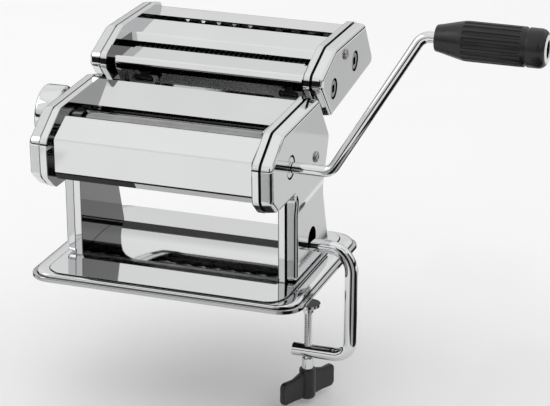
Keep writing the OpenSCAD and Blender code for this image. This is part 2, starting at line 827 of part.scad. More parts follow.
// Front roller, its gear and the wheel that the pinion turns
module roller_front() {
    color("silver") union() {
        bar_x(front_axis, roller_r, roller_left, roller_right);
        bar_x(front_axis, journal_r, -x_plate - bush_len - 1, x_wheel + wheel_w);
    }
}
module roller_gear_outline(phase) {
    polygon(gear_outline(roller_teeth, gear_tip_r, roller_r - 2.6, 1.4, 3, phase));
}
module gear_front() {
    color("dimgray") difference() {
        translate([0, front_axis[0], front_axis[1]]) along_x(roller_right, gear_w) roller_gear_outline(0);
        bar_x(front_axis, journal_r + thread_gap / 2, roller_right - 1, roller_right + gear_w + 1);
    }
}
module drive_wheel() {
    color("dimgray") difference() {
        translate([0, front_axis[0], front_axis[1]]) along_x(x_wheel, wheel_w)
            polygon(gear_outline(wheel_teeth, (wheel_teeth / 2 + 0.8) * drive_module,
                                 (wheel_teeth / 2 - 1.1) * drive_module, 0.9, 2.3, drive_angle));
        bar_x(front_axis, journal_r + thread_gap / 2, x_wheel - 1, x_wheel + wheel_w + 1);
    }
}

// Axle whose thick middle is off centre, so that turning it moves the rear roller
module eccentric_axle() {
    color("lightgray") union() {
        bar_x(rear_axis, axle_r, -x_in + 1, x_in - 1);
        bar_x(axle_axis, journal_r, -knob_neck_x, x_plate + bush_len + 1);
        square_x(axle_axis, axle_square, -axle_end, -knob_neck_x + eps);
    }
}

// Quarter round in steps, from heading a0 to a1 about [r, x]
function edge_arc(middle, r, a0, a1) =
    [for (i = [0 : edge_steps]) let (a = a0 + (a1 - a0) * i / edge_steps) middle + r * [cos(a), sin(a)]];
module adjuster_knob() {
    neck_r = knob_neck_d / 2;
    r = knob_d / 2 - knob_edge;
    back = knob_x + knob_t;
    color("whitesmoke") mirrored_if(true) difference() {
        turned_x(axle_axis, concat(
            [[0, knob_neck_x + 0.1], [neck_r, knob_neck_x + 0.1]],
            [[neck_r, knob_x - 1.5], [neck_r + 2, knob_x]],
            edge_arc([r, knob_x + knob_edge], knob_edge, -90, 0),
            edge_arc([r, back - knob_edge], knob_edge, 0, 90),
            [[0, back]]
        ));
        square_x(axle_axis, axle_square + 0.2, knob_neck_x - 1, axle_end + 0.5);
        bar_x(pin_place, pin_r + 0.02, knob_x - 1, knob_x + pin_seat);
    }
}
module knob_pin() {
    color("lightgray") mirrored_if(true) bar_x(pin_place, pin_r, x_out + 0.4, knob_x + pin_seat);
}

// Rear roller: a tube that runs on two bushes on the eccentric axle
module rear_bush(x0) {
    difference() {
        bar_x(rear_axis, rear_bush_r, x0, x0 + rear_bush_len);
        bar_x(rear_axis, axle_r + running / 2, x0 - 1, x0 + rear_bush_len + 1);
    }
}
module rear_bushes() {
    color("goldenrod") union() {
        rear_bush(roller_left);
        rear_bush(roller_right - rear_bush_len);
    }
}
module roller_rear() {
    color("silver") difference() {
        bar_x(rear_axis, roller_r, roller_left, roller_right);
        bar_x(rear_axis, rear_bush_r + running / 2, roller_left - 1, roller_right + 1);
    }
}
module gear_rear() {
    color("dimgray") difference() {
        translate([0, rear_axis[0], rear_axis[1]])
            along_x(roller_right, gear_w) roller_gear_outline(180 + 180 / roller_teeth);
        bar_x(rear_axis, rear_bush_r + running / 2, roller_right - 1, roller_right + gear_w + 1);
    }
}

// Cutter head frame
module cutter_holes() {
    for (p = [narrow_driven, narrow_idle, wide_driven, wide_idle])
        bar_x(p, cutter_journal_r + running / 2, x_in - 1, x_plate + 1);
    for (p = cutter_ties) bar_x(p, cutter_tie_r + thread_gap / 2, x_in - 1, x_plate + 1);
}
module cutter_frame_left() {
    color("gainsboro") mirrored_if(true) difference() {
        side_pan(cutter_corners);
        cutter_holes();
    }
}
module cutter_frame_right() {
    color("gainsboro") difference() {
        side_pan(cutter_corners);
        cutter_holes();
    }
}
module cutter_posts() {
    color("lightgray") for (left = [false, true]) mirrored_if(left) screw_post(cap_screw, x_plate);
}
module cutter_cap_left() {
    color("silver") mirrored_if(true) difference() {
        pressed_shell(cutter_corners);
        bar_x(cap_screw, screw_r + thread_gap, x_cover, x_out + 1);
    }
}
module cutter_cap_right() {
    color("silver") difference() {
        pressed_shell(cutter_corners);
        bar_x(cap_screw, screw_r + thread_gap, x_cover, x_out + 1);
        for (p = [narrow_driven, wide_driven]) bar_x(p, cap_hole_r, x_cover, x_out + 1);
    }
}

module cutter_front_panel() {
    fold = folded([nose_rear, nose_front, nose_low, wall_top, wall_low], bend_r);
    color("whitesmoke") difference() {
        along_x(-x_in, inner_w) polygon(bent_sheet(fold, sheet));
        for (left = [false, true]) mirrored_if(left) {
            translate([x_in - nose_gap, nose_low[0] - 9, wall_low[1] - 9])
                cube([nose_gap + 1, slope_len, nose_front[1] - bend_r - wall_low[1] + 9]);
            translate([x_in - nose_notch[0], nose_rear[0] - nose_notch[1], nose_rear[1] - 5])
                cube([nose_notch[0] + 1, nose_notch[1] + 1, 10]);
        }
    }
}
module cutter_roof() {
    color("whitesmoke") along_x(-x_in, inner_w) polygon(bent_sheet(folded(roof_fold, bend_r), sheet));
}
module cutter_rear_panel() {
    color("whitesmoke") along_x(-x_in, inner_w) polygon(bent_sheet(folded(rear_fold, bend_r), sheet));
}
module cutter_tie_rods() {
    head_r = cutter_tie_r + 1.5;
    color("lightgray") for (p = cutter_ties) {
        bar_x(p, cutter_tie_r, -x_plate - 2, x_plate + 2);
        bar_x(p, head_r, x_plate, x_plate + 2);
        bar_x(p, head_r, -x_plate - 2, -x_plate);
    }
}
module cutter_screws() {
    color("lightgray") union() {
        cover_screw(cap_screw, 8);
        mirrored_if(true) cover_screw(cap_screw, 8);
    }
}

// C-shaped hooks that slide over the rails' heads
module cutter_hook() {
    inner = rail_head_w / 2 + hook_clear;
    lip = rail_w / 2 + hook_clear;
    over = rail_web_h + rail_head_h + hook_clear;
    under = rail_web_h - hook_clear;
    low = under - 2;
    seat = hook_top - 0.02;
    at_slope() translate([0, hook_end, 0]) rotate([90, 0, 0]) linear_extrude(hook_end - hook_start) polygon([
        [-inner - hook_wall, seat], [-inner - hook_wall, low], [-lip, low], [-lip, under], [-inner, under],
        [-inner, over], [inner, over], [inner, under], [lip, under], [lip, low],
        [inner + hook_wall, low], [inner + hook_wall, seat]
    ]);
}
module cutter_hooks() {
    color("silver") for (s = [-1, 1]) translate([s * rail_x, 0, 0]) cutter_hook();
}

// Cutter rollers: rings that run in the grooves of the opposite roller
function ring_count(cut) = floor((cutter_len - 2) / (2 * cut));
function ring_start(cut) = cutter_left + (cutter_len - 2 * cut * ring_count(cut)) / 2;
module cutter_roller(place, cut, shift, end_x) {
    first = ring_start(cut) + shift * cut;
    rings = ring_count(cut);
    color("silver") union() {
        turned_x(place, concat(
            [[0, cutter_left], [core_r, cutter_left]],
            [for (i = [0 : rings - 1])
                let (a = first + 2 * cut * i + ring_clear, b = a + cut - 2 * ring_clear)
                each [[core_r, a], [cutter_r, a], [cutter_r, b], [core_r, b]]],
            [[core_r, cutter_right], [0, cutter_right]]
        ));
        bar_x(place, cutter_journal_r, -x_plate - socket_seat, end_x);
    }
}
// Socket for the crank's tip, seated on the end of a driven roller's journal
module drive_socket(place) {
    x0 = x_plate + socket_gap;
    end_x = x_out - 0.6;
    color("silver") difference() {
        bar_x(place, cutter_socket_r, x0, end_x);
        bar_x(place, cutter_journal_r + thread_gap / 2, x0 - 1, x0 + socket_seat + thread_gap);
        square_x(place, crank_square + 0.3, end_x - crank_tip - 0.5, end_x + 1);
    }
}
module cutter_gear(place, phase) {
    root_r = (cutter_gear_teeth / 2 - 1.1) * cutter_module;
    color("dimgray") difference() {
        translate([0, place[0], place[1]]) along_x(cutter_gear_x, gear_w)
            polygon(gear_outline(cutter_gear_teeth, cutter_gear_tip_r, root_r, 1.3, 3.2, phase));
        bar_x(place, cutter_journal_r + thread_gap / 2, cutter_gear_x - 1, cutter_gear_x + gear_w + 1);
    }
}
module narrow_roller_driven() { cutter_roller(narrow_driven, narrow_cut, 0, driven_end); }
module narrow_roller_idle() { cutter_roller(narrow_idle, narrow_cut, 1, idle_end); }
module wide_roller_driven() { cutter_roller(wide_driven, wide_cut, 0, driven_end); }
module wide_roller_idle() { cutter_roller(wide_idle, wide_cut, 1, idle_end); }
module narrow_drive_socket() { drive_socket(narrow_driven); }
module wide_drive_socket() { drive_socket(wide_driven); }
module narrow_gear_driven() { cutter_gear(narrow_driven, cutter_tilt); }
module narrow_gear_idle() { cutter_gear(narrow_idle, cutter_tilt + 180 + half_tooth); }
module wide_gear_driven() { cutter_gear(wide_driven, cutter_tilt); }
module wide_gear_idle() { cutter_gear(wide_idle, cutter_tilt + 180 + half_tooth); }

// Combs under the rollers, with one finger in each groove
module comb(place, cut, shift) {
    bar_h = 1.8;
    bar_top = place[1] - max(cutter_r, cutter_gear_tip_r) - comb_clear;
    finger_w = cut - 2 * comb_clear;
    finger_top = place[1] - core_r - comb_clear;
    first = ring_start(cut) + (1 - shift) * cut + comb_clear;
    color("lightgray") union() {
        translate([-x_in, place[0] - 2.2, bar_top - bar_h]) cube([inner_w, 4.4, bar_h]);
        for (i = [0 : ring_count(cut) - 1])
            translate([first + 2 * cut * i, place[0] - 0.5, bar_top - eps])
                cube([finger_w, 1, finger_top - bar_top]);
    }
}
module comb_narrow_front() { comb(narrow_driven, narrow_cut, 0); }
module comb_narrow_rear() { comb(narrow_idle, narrow_cut, 1); }
module comb_wide_front() { comb(wide_driven, wide_cut, 0); }
module comb_wide_rear() { comb(wide_idle, wide_cut, 1); }

// Clamp: bent rod through the leg, screw with its pad, and wing handle
module clamp_rod() {
    top = [clamp_x, clamp_z];
    low = [clamp_x, -clamp_depth];
    color("silver") difference() {
        translate([0, clamp_y, 0]) union() {
            rod_straight([clamp_inner_end, clamp_z], top - [clamp_top_bend, 0], clamp_r);
            rod_bend(top - [clamp_top_bend, 0], 0, -90, clamp_top_bend, clamp_r);
            rod_straight(top - [0, clamp_top_bend], low + [0, clamp_low_bend], clamp_r);
            rod_bend(low + [0, clamp_low_bend], -90, -90, clamp_low_bend, clamp_r);
            rod_straight(low - [clamp_low_bend, 0], [clamp_arm_end, -clamp_depth], clamp_r);
        }
        translate([clamp_screw_x, clamp_y, -clamp_depth - clamp_r - 1])
            cylinder(h = clamp_d + 2, r = clamp_screw_r + running / 2);
    }
}
module on_screw() {
    translate([clamp_screw_x, clamp_y, 0]) children();
}
module clamp_pad() {
    r = clamp_pad_d / 2;
    color("silver") on_screw() rotate_extrude() polygon([
        [0, -table_t], [r, -table_t], [r, -table_t - pad_t + 1], [r - 1, -table_t - pad_t],
        [tip_r + 2, -table_t - pad_t], [tip_r + 2, -table_t - pad_boss],
        [tip_r + running / 2, -table_t - pad_boss], [tip_r + running / 2, tip_top + 0.1], [0, tip_top + 0.1]
    ]);
}
module clamp_screw() {
    shoulder = -table_t - pad_boss - 0.1;
    color("silver") on_screw() rotate_extrude() polygon([
        [0, tip_top], [tip_r, tip_top], [tip_r, shoulder], [clamp_screw_r, shoulder],
        [clamp_screw_r, collar_top], [collar_r, collar_top], [collar_r, hub_top],
        [root_r, hub_top], [root_r, hub_floor], [0, hub_floor]
    ]);
}
module wing_handle() {
    half = wing_span / 2;
    top = hub_top - wing_drop;
    low = hub_top - hub_len + wing_rise;
    color("black") on_screw() difference() {
        union() {
            translate([0, 0, hub_top]) mirror([0, 0, 1]) rotate_extrude() polygon(concat(
                [[0, 0], [hub_r, 0]], edge_arc([hub_r - hub_edge, hub_len - hub_edge], hub_edge, 0, 90),
                [[0, hub_len]]
            ));
            rotate([0, 0, wing_angle]) translate([0, wing_t / 2, 0]) rotate([90, 0, 0]) linear_extrude(wing_t)
                polygon(outline([[-half, low, wing_corner_r], [half, low, wing_corner_r],
                                 [half, low + wing_h, wing_corner_r], [hub_r, top, wing_corner_r],
                                 [-hub_r, top, wing_corner_r], [-half, low + wing_h, wing_corner_r]]));
        }
        translate([0, 0, hub_floor - eps]) cylinder(h = hub_len, r = root_r + thread_gap / 4);
    }
}

base_plate();
side_frame_left();
side_frame_right();
side_cover_left();
side_cover_right();
front_cover();
feed_chute();
back_panel();
dough_guides();
scraper_front();
scraper_rear();
tie_rods();
frame_nuts();
cover_screws();
shaft_bushes();
index_plate();
cutter_rails();
drive_pinion();
crank_rod();
crank_grip();
grip_ring();
roller_front();
gear_front();
drive_wheel();
eccentric_axle();
adjuster_knob();
knob_pin();
rear_bushes();
roller_rear();
gear_rear();
cutter_frame_left();
cutter_frame_right();
cutter_cap_left();
cutter_cap_right();
cutter_front_panel();
cutter_roof();
cutter_rear_panel();
cutter_tie_rods();
cutter_screws();
cutter_hooks();
comb_narrow_front();
comb_narrow_rear();
comb_wide_front();
comb_wide_rear();
narrow_roller_driven();
narrow_roller_idle();
wide_roller_driven();
wide_roller_idle();
narrow_gear_driven();
narrow_gear_idle();
wide_gear_driven();
wide_gear_idle();
narrow_drive_socket();
wide_drive_socket();
cutter_posts();
clamp_rod();
clamp_pad();
clamp_screw();
wing_handle();
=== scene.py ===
import json
import math

import bmesh
import bpy
from mathutils import Matrix, Vector


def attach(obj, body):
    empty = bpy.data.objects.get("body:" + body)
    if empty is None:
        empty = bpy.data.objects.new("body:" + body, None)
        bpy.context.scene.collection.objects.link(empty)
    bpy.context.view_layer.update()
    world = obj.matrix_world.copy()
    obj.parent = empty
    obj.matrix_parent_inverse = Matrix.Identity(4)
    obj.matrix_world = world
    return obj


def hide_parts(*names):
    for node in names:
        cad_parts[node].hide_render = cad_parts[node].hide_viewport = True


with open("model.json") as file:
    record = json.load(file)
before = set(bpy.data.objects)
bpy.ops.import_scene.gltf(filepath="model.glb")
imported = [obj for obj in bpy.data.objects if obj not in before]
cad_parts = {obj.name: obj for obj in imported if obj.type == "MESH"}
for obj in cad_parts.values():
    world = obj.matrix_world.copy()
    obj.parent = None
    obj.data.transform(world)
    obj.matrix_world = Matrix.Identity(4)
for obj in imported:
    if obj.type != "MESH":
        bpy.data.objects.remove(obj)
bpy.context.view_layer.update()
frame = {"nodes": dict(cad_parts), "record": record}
nodes = frame["nodes"]
record = frame["record"]
SLOT_OF = {entry["node"]: entry["material_slot"] for entry in record["subparts"]}
BODY_OF = {node: body for body, held in record["behaviour"]["bodies"].items() for node in held}
bpy.ops.object.select_all(action="DESELECT")

# Camera: solved from the photograph's straight edges
CAMERA_PLACE = (0.5933, -1.5608, 0.6590)
CAMERA_AZIMUTH = 18.81
CAMERA_ELEVATION = 20.15
CAMERA_ROLL = 0.54
CAMERA_LENS = 155.18
SENSOR_WIDTH = 36.0


def place_camera():
    """Sets the camera from its place, two angles and a small roll."""
    azimuth = math.radians(CAMERA_AZIMUTH)
    elevation = math.radians(CAMERA_ELEVATION)
    roll = math.radians(CAMERA_ROLL)
    back = Vector((math.sin(azimuth) * math.cos(elevation),
                   -math.cos(azimuth) * math.cos(elevation),
                   math.sin(elevation)))
    right = Vector((math.cos(azimuth), math.sin(azimuth), 0.0))
    up = back.cross(right)
    right, up = (math.cos(roll) * right + math.sin(roll) * up,
                 -math.sin(roll) * right + math.cos(roll) * up)
    data = bpy.data.cameras.new("photo_camera")
    data.lens = CAMERA_LENS
    data.sensor_width = SENSOR_WIDTH
    data.clip_end = 50.0
    camera = bpy.data.objects.new("photo_camera", data)
    turn = Matrix((right, up, back)).transposed()
    camera.matrix_world = Matrix.Translation(CAMERA_PLACE) @ turn.to_4x4()
    bpy.context.scene.collection.objects.link(camera)
    bpy.context.scene.camera = camera


# Materials, all from nodes on Object coordinates
NOISE_LOW = 0.3
NOISE_HIGH = 0.7
MOTTLE = 0.94


def set_stops(ramp, stops):
    """Gives a colour ramp its stops, each (position, colour)."""
    while len(ramp.elements) < len(stops):
        ramp.elements.new(0.5)
    for element, (position, color) in zip(ramp.elements, stops):
        element.position = position
        element.color = (*color, 1.0)


class Finish:
    """A Principled material and short ways to add its nodes."""

    def __init__(self, name, color, metallic, roughness):
        self.material = bpy.data.materials.new(name)
        self.material.use_nodes = True
        self.tree = self.material.node_tree
        self.shader = self.tree.nodes["Principled BSDF"]
        self.set("Base Color", (*color, 1.0))
        self.set("Metallic", metallic)
        self.set("Roughness", roughness)
        self.coords = self.tree.nodes.new("ShaderNodeTexCoord")

    def set(self, socket, value):
        self.shader.inputs[socket].default_value = value

    def link(self, source, target):
        self.tree.links.new(source, target)

    def node(self, kind, **values):
        made = self.tree.nodes.new(kind)
        for key, value in values.items():
            if key in made.inputs:
                made.inputs[key].default_value = value
            else:
                setattr(made, key, value)
        return made

    def mapped(self, scale):
        mapping = self.node("ShaderNodeMapping", Scale=scale)
        self.link(self.coords.outputs["Object"], mapping.inputs["Vector"])
        return mapping.outputs["Vector"]

    def noise(self, scale, stretch=(1.0, 1.0, 1.0), detail=3.0, rough=0.55):
        made = self.node("ShaderNodeTexNoise", Scale=scale, Detail=detail, Roughness=rough)
        self.link(self.mapped(stretch), made.inputs["Vector"])
        return made.outputs["Fac"]

    def ramp(self, source, low, high, start=NOISE_LOW, end=NOISE_HIGH):
        made = self.node("ShaderNodeMapRange")
        made.inputs["From Min"].default_value = start
        made.inputs["From Max"].default_value = end
        made.inputs["To Min"].default_value = low
        made.inputs["To Max"].default_value = high
        self.link(source, made.inputs["Value"])
        return made.outputs["Result"]

    def roughness_from(self, source, low, high):
        self.link(self.ramp(source, low, high), self.shader.inputs["Roughness"])

    def color_from(self, source, dark, light):
        made = self.node("ShaderNodeValToRGB")
        set_stops(made.color_ramp, [(NOISE_LOW, dark), (NOISE_HIGH, light)])
        self.link(source, made.inputs["Fac"])
        self.link(made.outputs["Color"], self.shader.inputs["Base Color"])

    def mottle(self):
        return self.noise(14.0, detail=2.0)

    def along(self, axis):
        """The place along one axis, in metres."""
        split = self.node("ShaderNodeSeparateXYZ")
        self.link(self.coords.outputs["Object"], split.inputs["Vector"])
        return split.outputs[axis]

    def across(self):
        """Distance from the middle of the machine along its rollers, in metres."""
        size = self.node("ShaderNodeMath", operation="ABSOLUTE")
        self.link(self.along("X"), size.inputs[0])
        return size.outputs["Value"]

    def above(self, axis, level):
        """1 beyond a place on the axis, 0 before it."""
        made = self.node("ShaderNodeMath", operation="GREATER_THAN")
        self.link(self.along(axis), made.inputs[0])
        made.inputs[1].default_value = level
        return made.outputs["Value"]

    def either(self, choice, first, second):
        """The second colour where the choice is 1, else the first."""
        mix = self.node("ShaderNodeMix", data_type="RGBA")
        self.link(choice, mix.inputs["Factor"])
        self.link(first, mix.inputs[6])
        self.link(second, mix.inputs[7])
        return mix.outputs[2]

    def bands(self, source, reach, steps):
        """A colour ramp over 0 to reach with hard steps; each step is (start, colour)."""
        made = self.node("ShaderNodeValToRGB")
        made.color_ramp.interpolation = "CONSTANT"
        set_stops(made.color_ramp, [(start / reach, color) for start, color in steps])
        self.link(self.ramp(source, 0.0, 1.0, 0.0, reach), made.inputs["Fac"])
        return made.outputs["Color"]

    def tinted(self, color):
        """Multiplies a colour by the slow mottle and links it to the shader."""
        mottle = self.node("ShaderNodeValToRGB")
        set_stops(mottle.color_ramp, [(0.0, (MOTTLE, MOTTLE, MOTTLE)), (1.0, (1.0, 1.0, 1.0))])
        self.link(self.mottle(), mottle.inputs["Fac"])
        mix = self.node("ShaderNodeMix", data_type="RGBA", blend_type="MULTIPLY")
        mix.inputs["Factor"].default_value = 1.0
        self.link(color, mix.inputs[6])
        self.link(mottle.outputs["Color"], mix.inputs[7])
        self.link(mix.outputs[2], self.shader.inputs["Base Color"])

    def bumps(self, *layers):
        """Each layer is (height source, strength, distance in metres)."""
        last = None
        for source, strength, distance in layers:
            made = self.node("ShaderNodeBump", Strength=strength, Distance=distance)
            self.link(source, made.inputs["Height"])
            if last is not None:
                self.link(last.outputs["Normal"], made.inputs["Normal"])
            last = made
        self.link(last.outputs["Normal"], self.shader.inputs["Normal"])


def plated(name, smear, wave):
    """Bright plating: faint smears in the gloss and a slow wave in the pressed sheet."""
    made = Finish(name, PLATED, 1.0, 0.06)
    made.roughness_from(made.noise(38.0, detail=6.0, rough=0.62), 0.03, smear)
    made.bumps((made.noise(9.0, detail=1.0), wave, 0.0012),
               (made.noise(900.0, detail=2.0), 0.012, 0.0002))
    return made


def chrome(name, smear, wave):
    """Plating of one tone."""
    made = plated(name, smear, wave)
    made.color_from(made.mottle(), [c * MOTTLE for c in PLATED], PLATED)
    return made.material


def stepped_chrome(name, steps, level=None, upper_steps=None):
    """Plating whose tone changes with the distance from the machine's middle, and above a level; the darker
    steps are painted shade.
    """
    made = plated(name, 0.08, 0.10)
    tone = made.bands(made.across(), STEPS_REACH, steps)
    if level is not None:
        upper_tone = made.bands(made.across(), STEPS_REACH, upper_steps)
        tone = made.either(made.above("Z", level), tone, upper_tone)
    made.tinted(tone)
    return made.material


def frame_chrome(name, level, end_shade, gap_shaded):
    """A side frame's sheet: painted shade on its inner face, a lighter painted shade above a level, plain
    plating on the rim strip and maybe a painted shadow in the gap beyond it.
    """
    outer = [(STRIP_START, PLATED)]
    if gap_shaded:
        outer.append((STRIP_END, DEEP_PAINTED_SHADE))
    return stepped_chrome(name, [(0.0, INNER_FACE_PAINTED_SHADE)] + outer, level, [(0.0, end_shade)] + outer)


def folded_chrome():
    """The front cover's sheet: painted shade in the fold along its lower edge, a lighter painted shade on
    the strip under it, and deep painted shade all under the fold at the knob's side.
    """
    made = plated("folded_chrome", 0.09, 0.12)
    height = made.along("Z")
    fold = made.bands(height, FOLD_REACH, [(0.0, UNDER_FOLD_PAINTED_SHADE), (FOLD_START, DEEP_PAINTED_SHADE), (FOLD_END, PLATED)])
    dark_fold = made.bands(height, FOLD_REACH, [(0.0, DEEP_PAINTED_SHADE), (FOLD_END, PLATED)])
    made.tinted(made.either(made.above("X", FOLD_SHADE_END), dark_fold, fold))
    return made.material


def beaded_chrome():
    """The base's sheet: painted shade on the lower bead of its rim, in the crease between its two beads and,
    on all but the left end, round the plate's edge.
    """
    made = plated("beaded_chrome", 0.08, 0.10)
    height = made.along("Z")
    rim = [(0.0, LOWER_BEAD_PAINTED_SHADE), (SEAM_START, SEAM_PAINTED_SHADE), (SEAM_END, PLATED)]
    edged = made.bands(height, RIM_REACH, rim + [(PLATE_EDGE_START, DEEP_PAINTED_SHADE), (PLATE_EDGE_END, PLATED)])
    plain = made.bands(height, RIM_REACH, rim)
    made.tinted(made.either(made.above("X", PLATE_EDGE_LEFT), plain, edged))
    return made.material


def ground_steel(name, dark, light, low, high, stretch, groove):
    """Ground, turned or cut steel: fine lines across one direction."""
    made = Finish(name, light, 1.0, low)
    lines = made.noise(1.0, stretch=stretch, detail=4.0, rough=0.7)
    made.roughness_from(lines, low, high)
    made.color_from(made.noise(60.0, detail=5.0), dark, light)
    made.bumps((lines, groove, 0.0002))
    return made.material


def bearing_bronze():
    made = Finish("bearing_bronze", (0.72, 0.53, 0.28), 1.0, 0.35)
    pores = made.noise(700.0, detail=6.0)
    made.color_from(pores, (0.46, 0.31, 0.14), (0.76, 0.56, 0.30))
    made.roughness_from(pores, 0.28, 0.5)
    made.bumps((pores, 0.15, 0.0002))
    return made.material


def moulded_black():
    made = Finish("moulded_black", (0.018, 0.018, 0.02), 0.0, 0.3)
    grain = made.noise(1600.0, detail=4.0)
    rubbed = made.noise(55.0, detail=6.0)
    made.set("Specular IOR Level", 0.4)
    made.color_from(rubbed, (0.008, 0.008, 0.009), (0.017, 0.017, 0.018))
    made.roughness_from(rubbed, 0.24, 0.40)
    made.bumps((grain, 0.10, 0.00012))
    return made.material


def moulded_pale():
    made = Finish("moulded_pale", (0.80, 0.80, 0.79), 0.0, 0.25)
    speck = made.noise(240.0, detail=5.0)
    made.color_from(speck, (0.74, 0.74, 0.73), (0.84, 0.84, 0.83))
    made.roughness_from(speck, 0.2, 0.34)
    made.bumps((made.noise(900.0), 0.04, 0.0001))
    return made.material


# Tones of the plating: the first is its own colour, the others are painted shade for inner faces, gaps,
# creases, a bead and the strip under a fold
PLATED = (0.745, 0.75, 0.755)
INNER_FACE_PAINTED_SHADE = (0.13, 0.13, 0.133)
DEEP_PAINTED_SHADE = (0.012, 0.012, 0.012)
SEAM_PAINTED_SHADE = (0.10, 0.10, 0.102)
LOWER_BEAD_PAINTED_SHADE = (0.46, 0.465, 0.47)
HOPPER_END_PAINTED_SHADE = (0.40, 0.40, 0.405)
CUTTER_END_PAINTED_SHADE = (0.60, 0.605, 0.61)
UNDER_FOLD_PAINTED_SHADE = (0.60, 0.605, 0.61)

# Where the tones change, in metres: across the machine, in height, or along the rollers
STEPS_REACH = 0.1
STRIP_START = 0.0778
STRIP_END = 0.0824
COVER_START = 0.0842
HOPPER_LEVEL = 0.1095
CUTTER_LEVEL = 0.1545
FOLD_REACH = 0.2
FOLD_START = 0.0912
FOLD_END = 0.0922
FOLD_SHADE_END = -0.012
RIM_REACH = 0.02
SEAM_START = 0.0033
SEAM_END = 0.0043
PLATE_EDGE_START = 0.00622
PLATE_EDGE_END = 0.00705
PLATE_EDGE_LEFT = -0.0895

FINISHES = {
    "pressed_chrome": chrome("pressed_chrome", 0.08, 0.10),
    "panel_chrome": chrome("panel_chrome", 0.09, 0.12),
    "rod_chrome": chrome("rod_chrome", 0.06, 0.03),
    "knob_chrome": chrome("knob_chrome", 0.10, 0.04),
    "roller_chrome": ground_steel("roller_chrome", (0.24, 0.24, 0.245), (0.34, 0.34, 0.345),
                                  0.08, 0.16, (2600.0, 30.0, 30.0), 0.03),
    "turned_steel": ground_steel("turned_steel", (0.30, 0.30, 0.305), (0.42, 0.42, 0.425),
                                 0.20, 0.34, (1800.0, 60.0, 60.0), 0.06),
    "spring_steel": ground_steel("spring_steel", (0.20, 0.20, 0.205), (0.30, 0.30, 0.305),
                                 0.18, 0.30, (40.0, 1500.0, 1500.0), 0.05),
    "gear_steel": ground_steel("gear_steel", (0.14, 0.14, 0.145), (0.24, 0.24, 0.245),
                               0.28, 0.45, (900.0, 300.0, 300.0), 0.08),
    "bronze": bearing_bronze(),
    "black_plastic": moulded_black(),
    "pale_plastic": moulded_pale(),
}
# Frames: painted shade inside; the right ones also get a painted shadow in the gap beside their rim strip
FRAME_CHROME = frame_chrome("frame_chrome", HOPPER_LEVEL, HOPPER_END_PAINTED_SHADE, True)
LEFT_FRAME_CHROME = frame_chrome("left_frame_chrome", HOPPER_LEVEL, HOPPER_END_PAINTED_SHADE, False)
CUTTER_FRAME_CHROME = frame_chrome("cutter_frame_chrome", CUTTER_LEVEL, CUTTER_END_PAINTED_SHADE, True)
LEFT_CUTTER_FRAME_CHROME = frame_chrome("left_cutter_frame_chrome", CUTTER_LEVEL, CUTTER_END_PAINTED_SHADE, False)
# The covers' lip and back edge carry a painted shadow; their walls and faces are plain plating
COVER_CHROME = stepped_chrome("cover_chrome", [(0.0, DEEP_PAINTED_SHADE), (COVER_START, PLATED)])
# Nearly black steel for the cutter's rollers, combs and rails: painted shade for the dark slots they sit in
CUTTER_STEEL_PAINTED_SHADE = ground_steel("cutter_steel_painted_shade", (0.018, 0.018, 0.019), (0.04, 0.04, 0.041), 0.3, 0.45,
                         (2600.0, 30.0, 30.0), 0.05)
SHADED_STEEL = ground_steel("shaded_steel", (0.10, 0.10, 0.102), (0.15, 0.15, 0.152), 0.12, 0.2,
                            (40.0, 900.0, 900.0), 0.03)
NODE_FINISHES = {
    "narrow_roller_driven": CUTTER_STEEL_PAINTED_SHADE,
    "narrow_roller_idle": CUTTER_STEEL_PAINTED_SHADE,
    "wide_roller_driven": CUTTER_STEEL_PAINTED_SHADE,
    "wide_roller_idle": CUTTER_STEEL_PAINTED_SHADE,
    "comb_narrow_front": CUTTER_STEEL_PAINTED_SHADE,
    "comb_narrow_rear": CUTTER_STEEL_PAINTED_SHADE,
    "comb_wide_front": CUTTER_STEEL_PAINTED_SHADE,
    "comb_wide_rear": CUTTER_STEEL_PAINTED_SHADE,
    "back_panel": SHADED_STEEL,
    "drive_pinion": FINISHES["pressed_chrome"],
    "base_plate": beaded_chrome(),
    "cutter_rails": CUTTER_STEEL_PAINTED_SHADE,
    "cutter_hooks": FINISHES["pressed_chrome"],
    "side_frame_left": LEFT_FRAME_CHROME,
    "side_frame_right": FRAME_CHROME,
    "cutter_frame_left": LEFT_CUTTER_FRAME_CHROME,
    "cutter_frame_right": CUTTER_FRAME_CHROME,
    "front_cover": folded_chrome(),
    "side_cover_right": COVER_CHROME,
    "cutter_cap_right": COVER_CHROME,
}


def finish_of(node):
    """A node's own finish, or else the one of its material slot."""
    return NODE_FINISHES.get(node, FINISHES[SLOT_OF[node]])


for node, part in nodes.items():
    part.data.materials.clear()
    part.data.materials.append(finish_of(node))


# Modelling by hand: small steps that act on the piece in edit mode
def mm(*values):
    return tuple(value * 0.001 for value in values)


def begin(name, add, **values):
    """Adds a primitive at its place and opens it in edit mode."""
    bpy.ops.object.select_all(action="DESELECT")
    add(**values)
    piece = bpy.context.object
    piece.name = name
    bpy.ops.object.transform_apply(location=True, rotation=True, scale=True)
    bpy.ops.object.mode_set(mode="EDIT")
    bpy.ops.mesh.select_mode(type="VERT")
    bpy.ops.mesh.select_all(action="SELECT")
    return piece


def pick(piece, kind, test):
    """Selects the points, edges or faces that pass a test on their place or normal."""
    bpy.ops.mesh.select_mode(type=kind)
    bpy.ops.mesh.select_all(action="DESELECT")
    shape = bmesh.from_edit_mesh(piece.data)
    for part in {"VERT": shape.verts, "EDGE": shape.edges, "FACE": shape.faces}[kind]:
        if test(part):
            part.select_set(True)
    shape.select_flush_mode()
    bmesh.update_edit_mesh(piece.data)


def close(piece):
    """Leaves edit mode with every face turned outwards."""
    bpy.ops.mesh.select_all(action="SELECT")
    bpy.ops.mesh.normals_make_consistent(inside=False)
    bpy.ops.object.mode_set(mode="OBJECT")


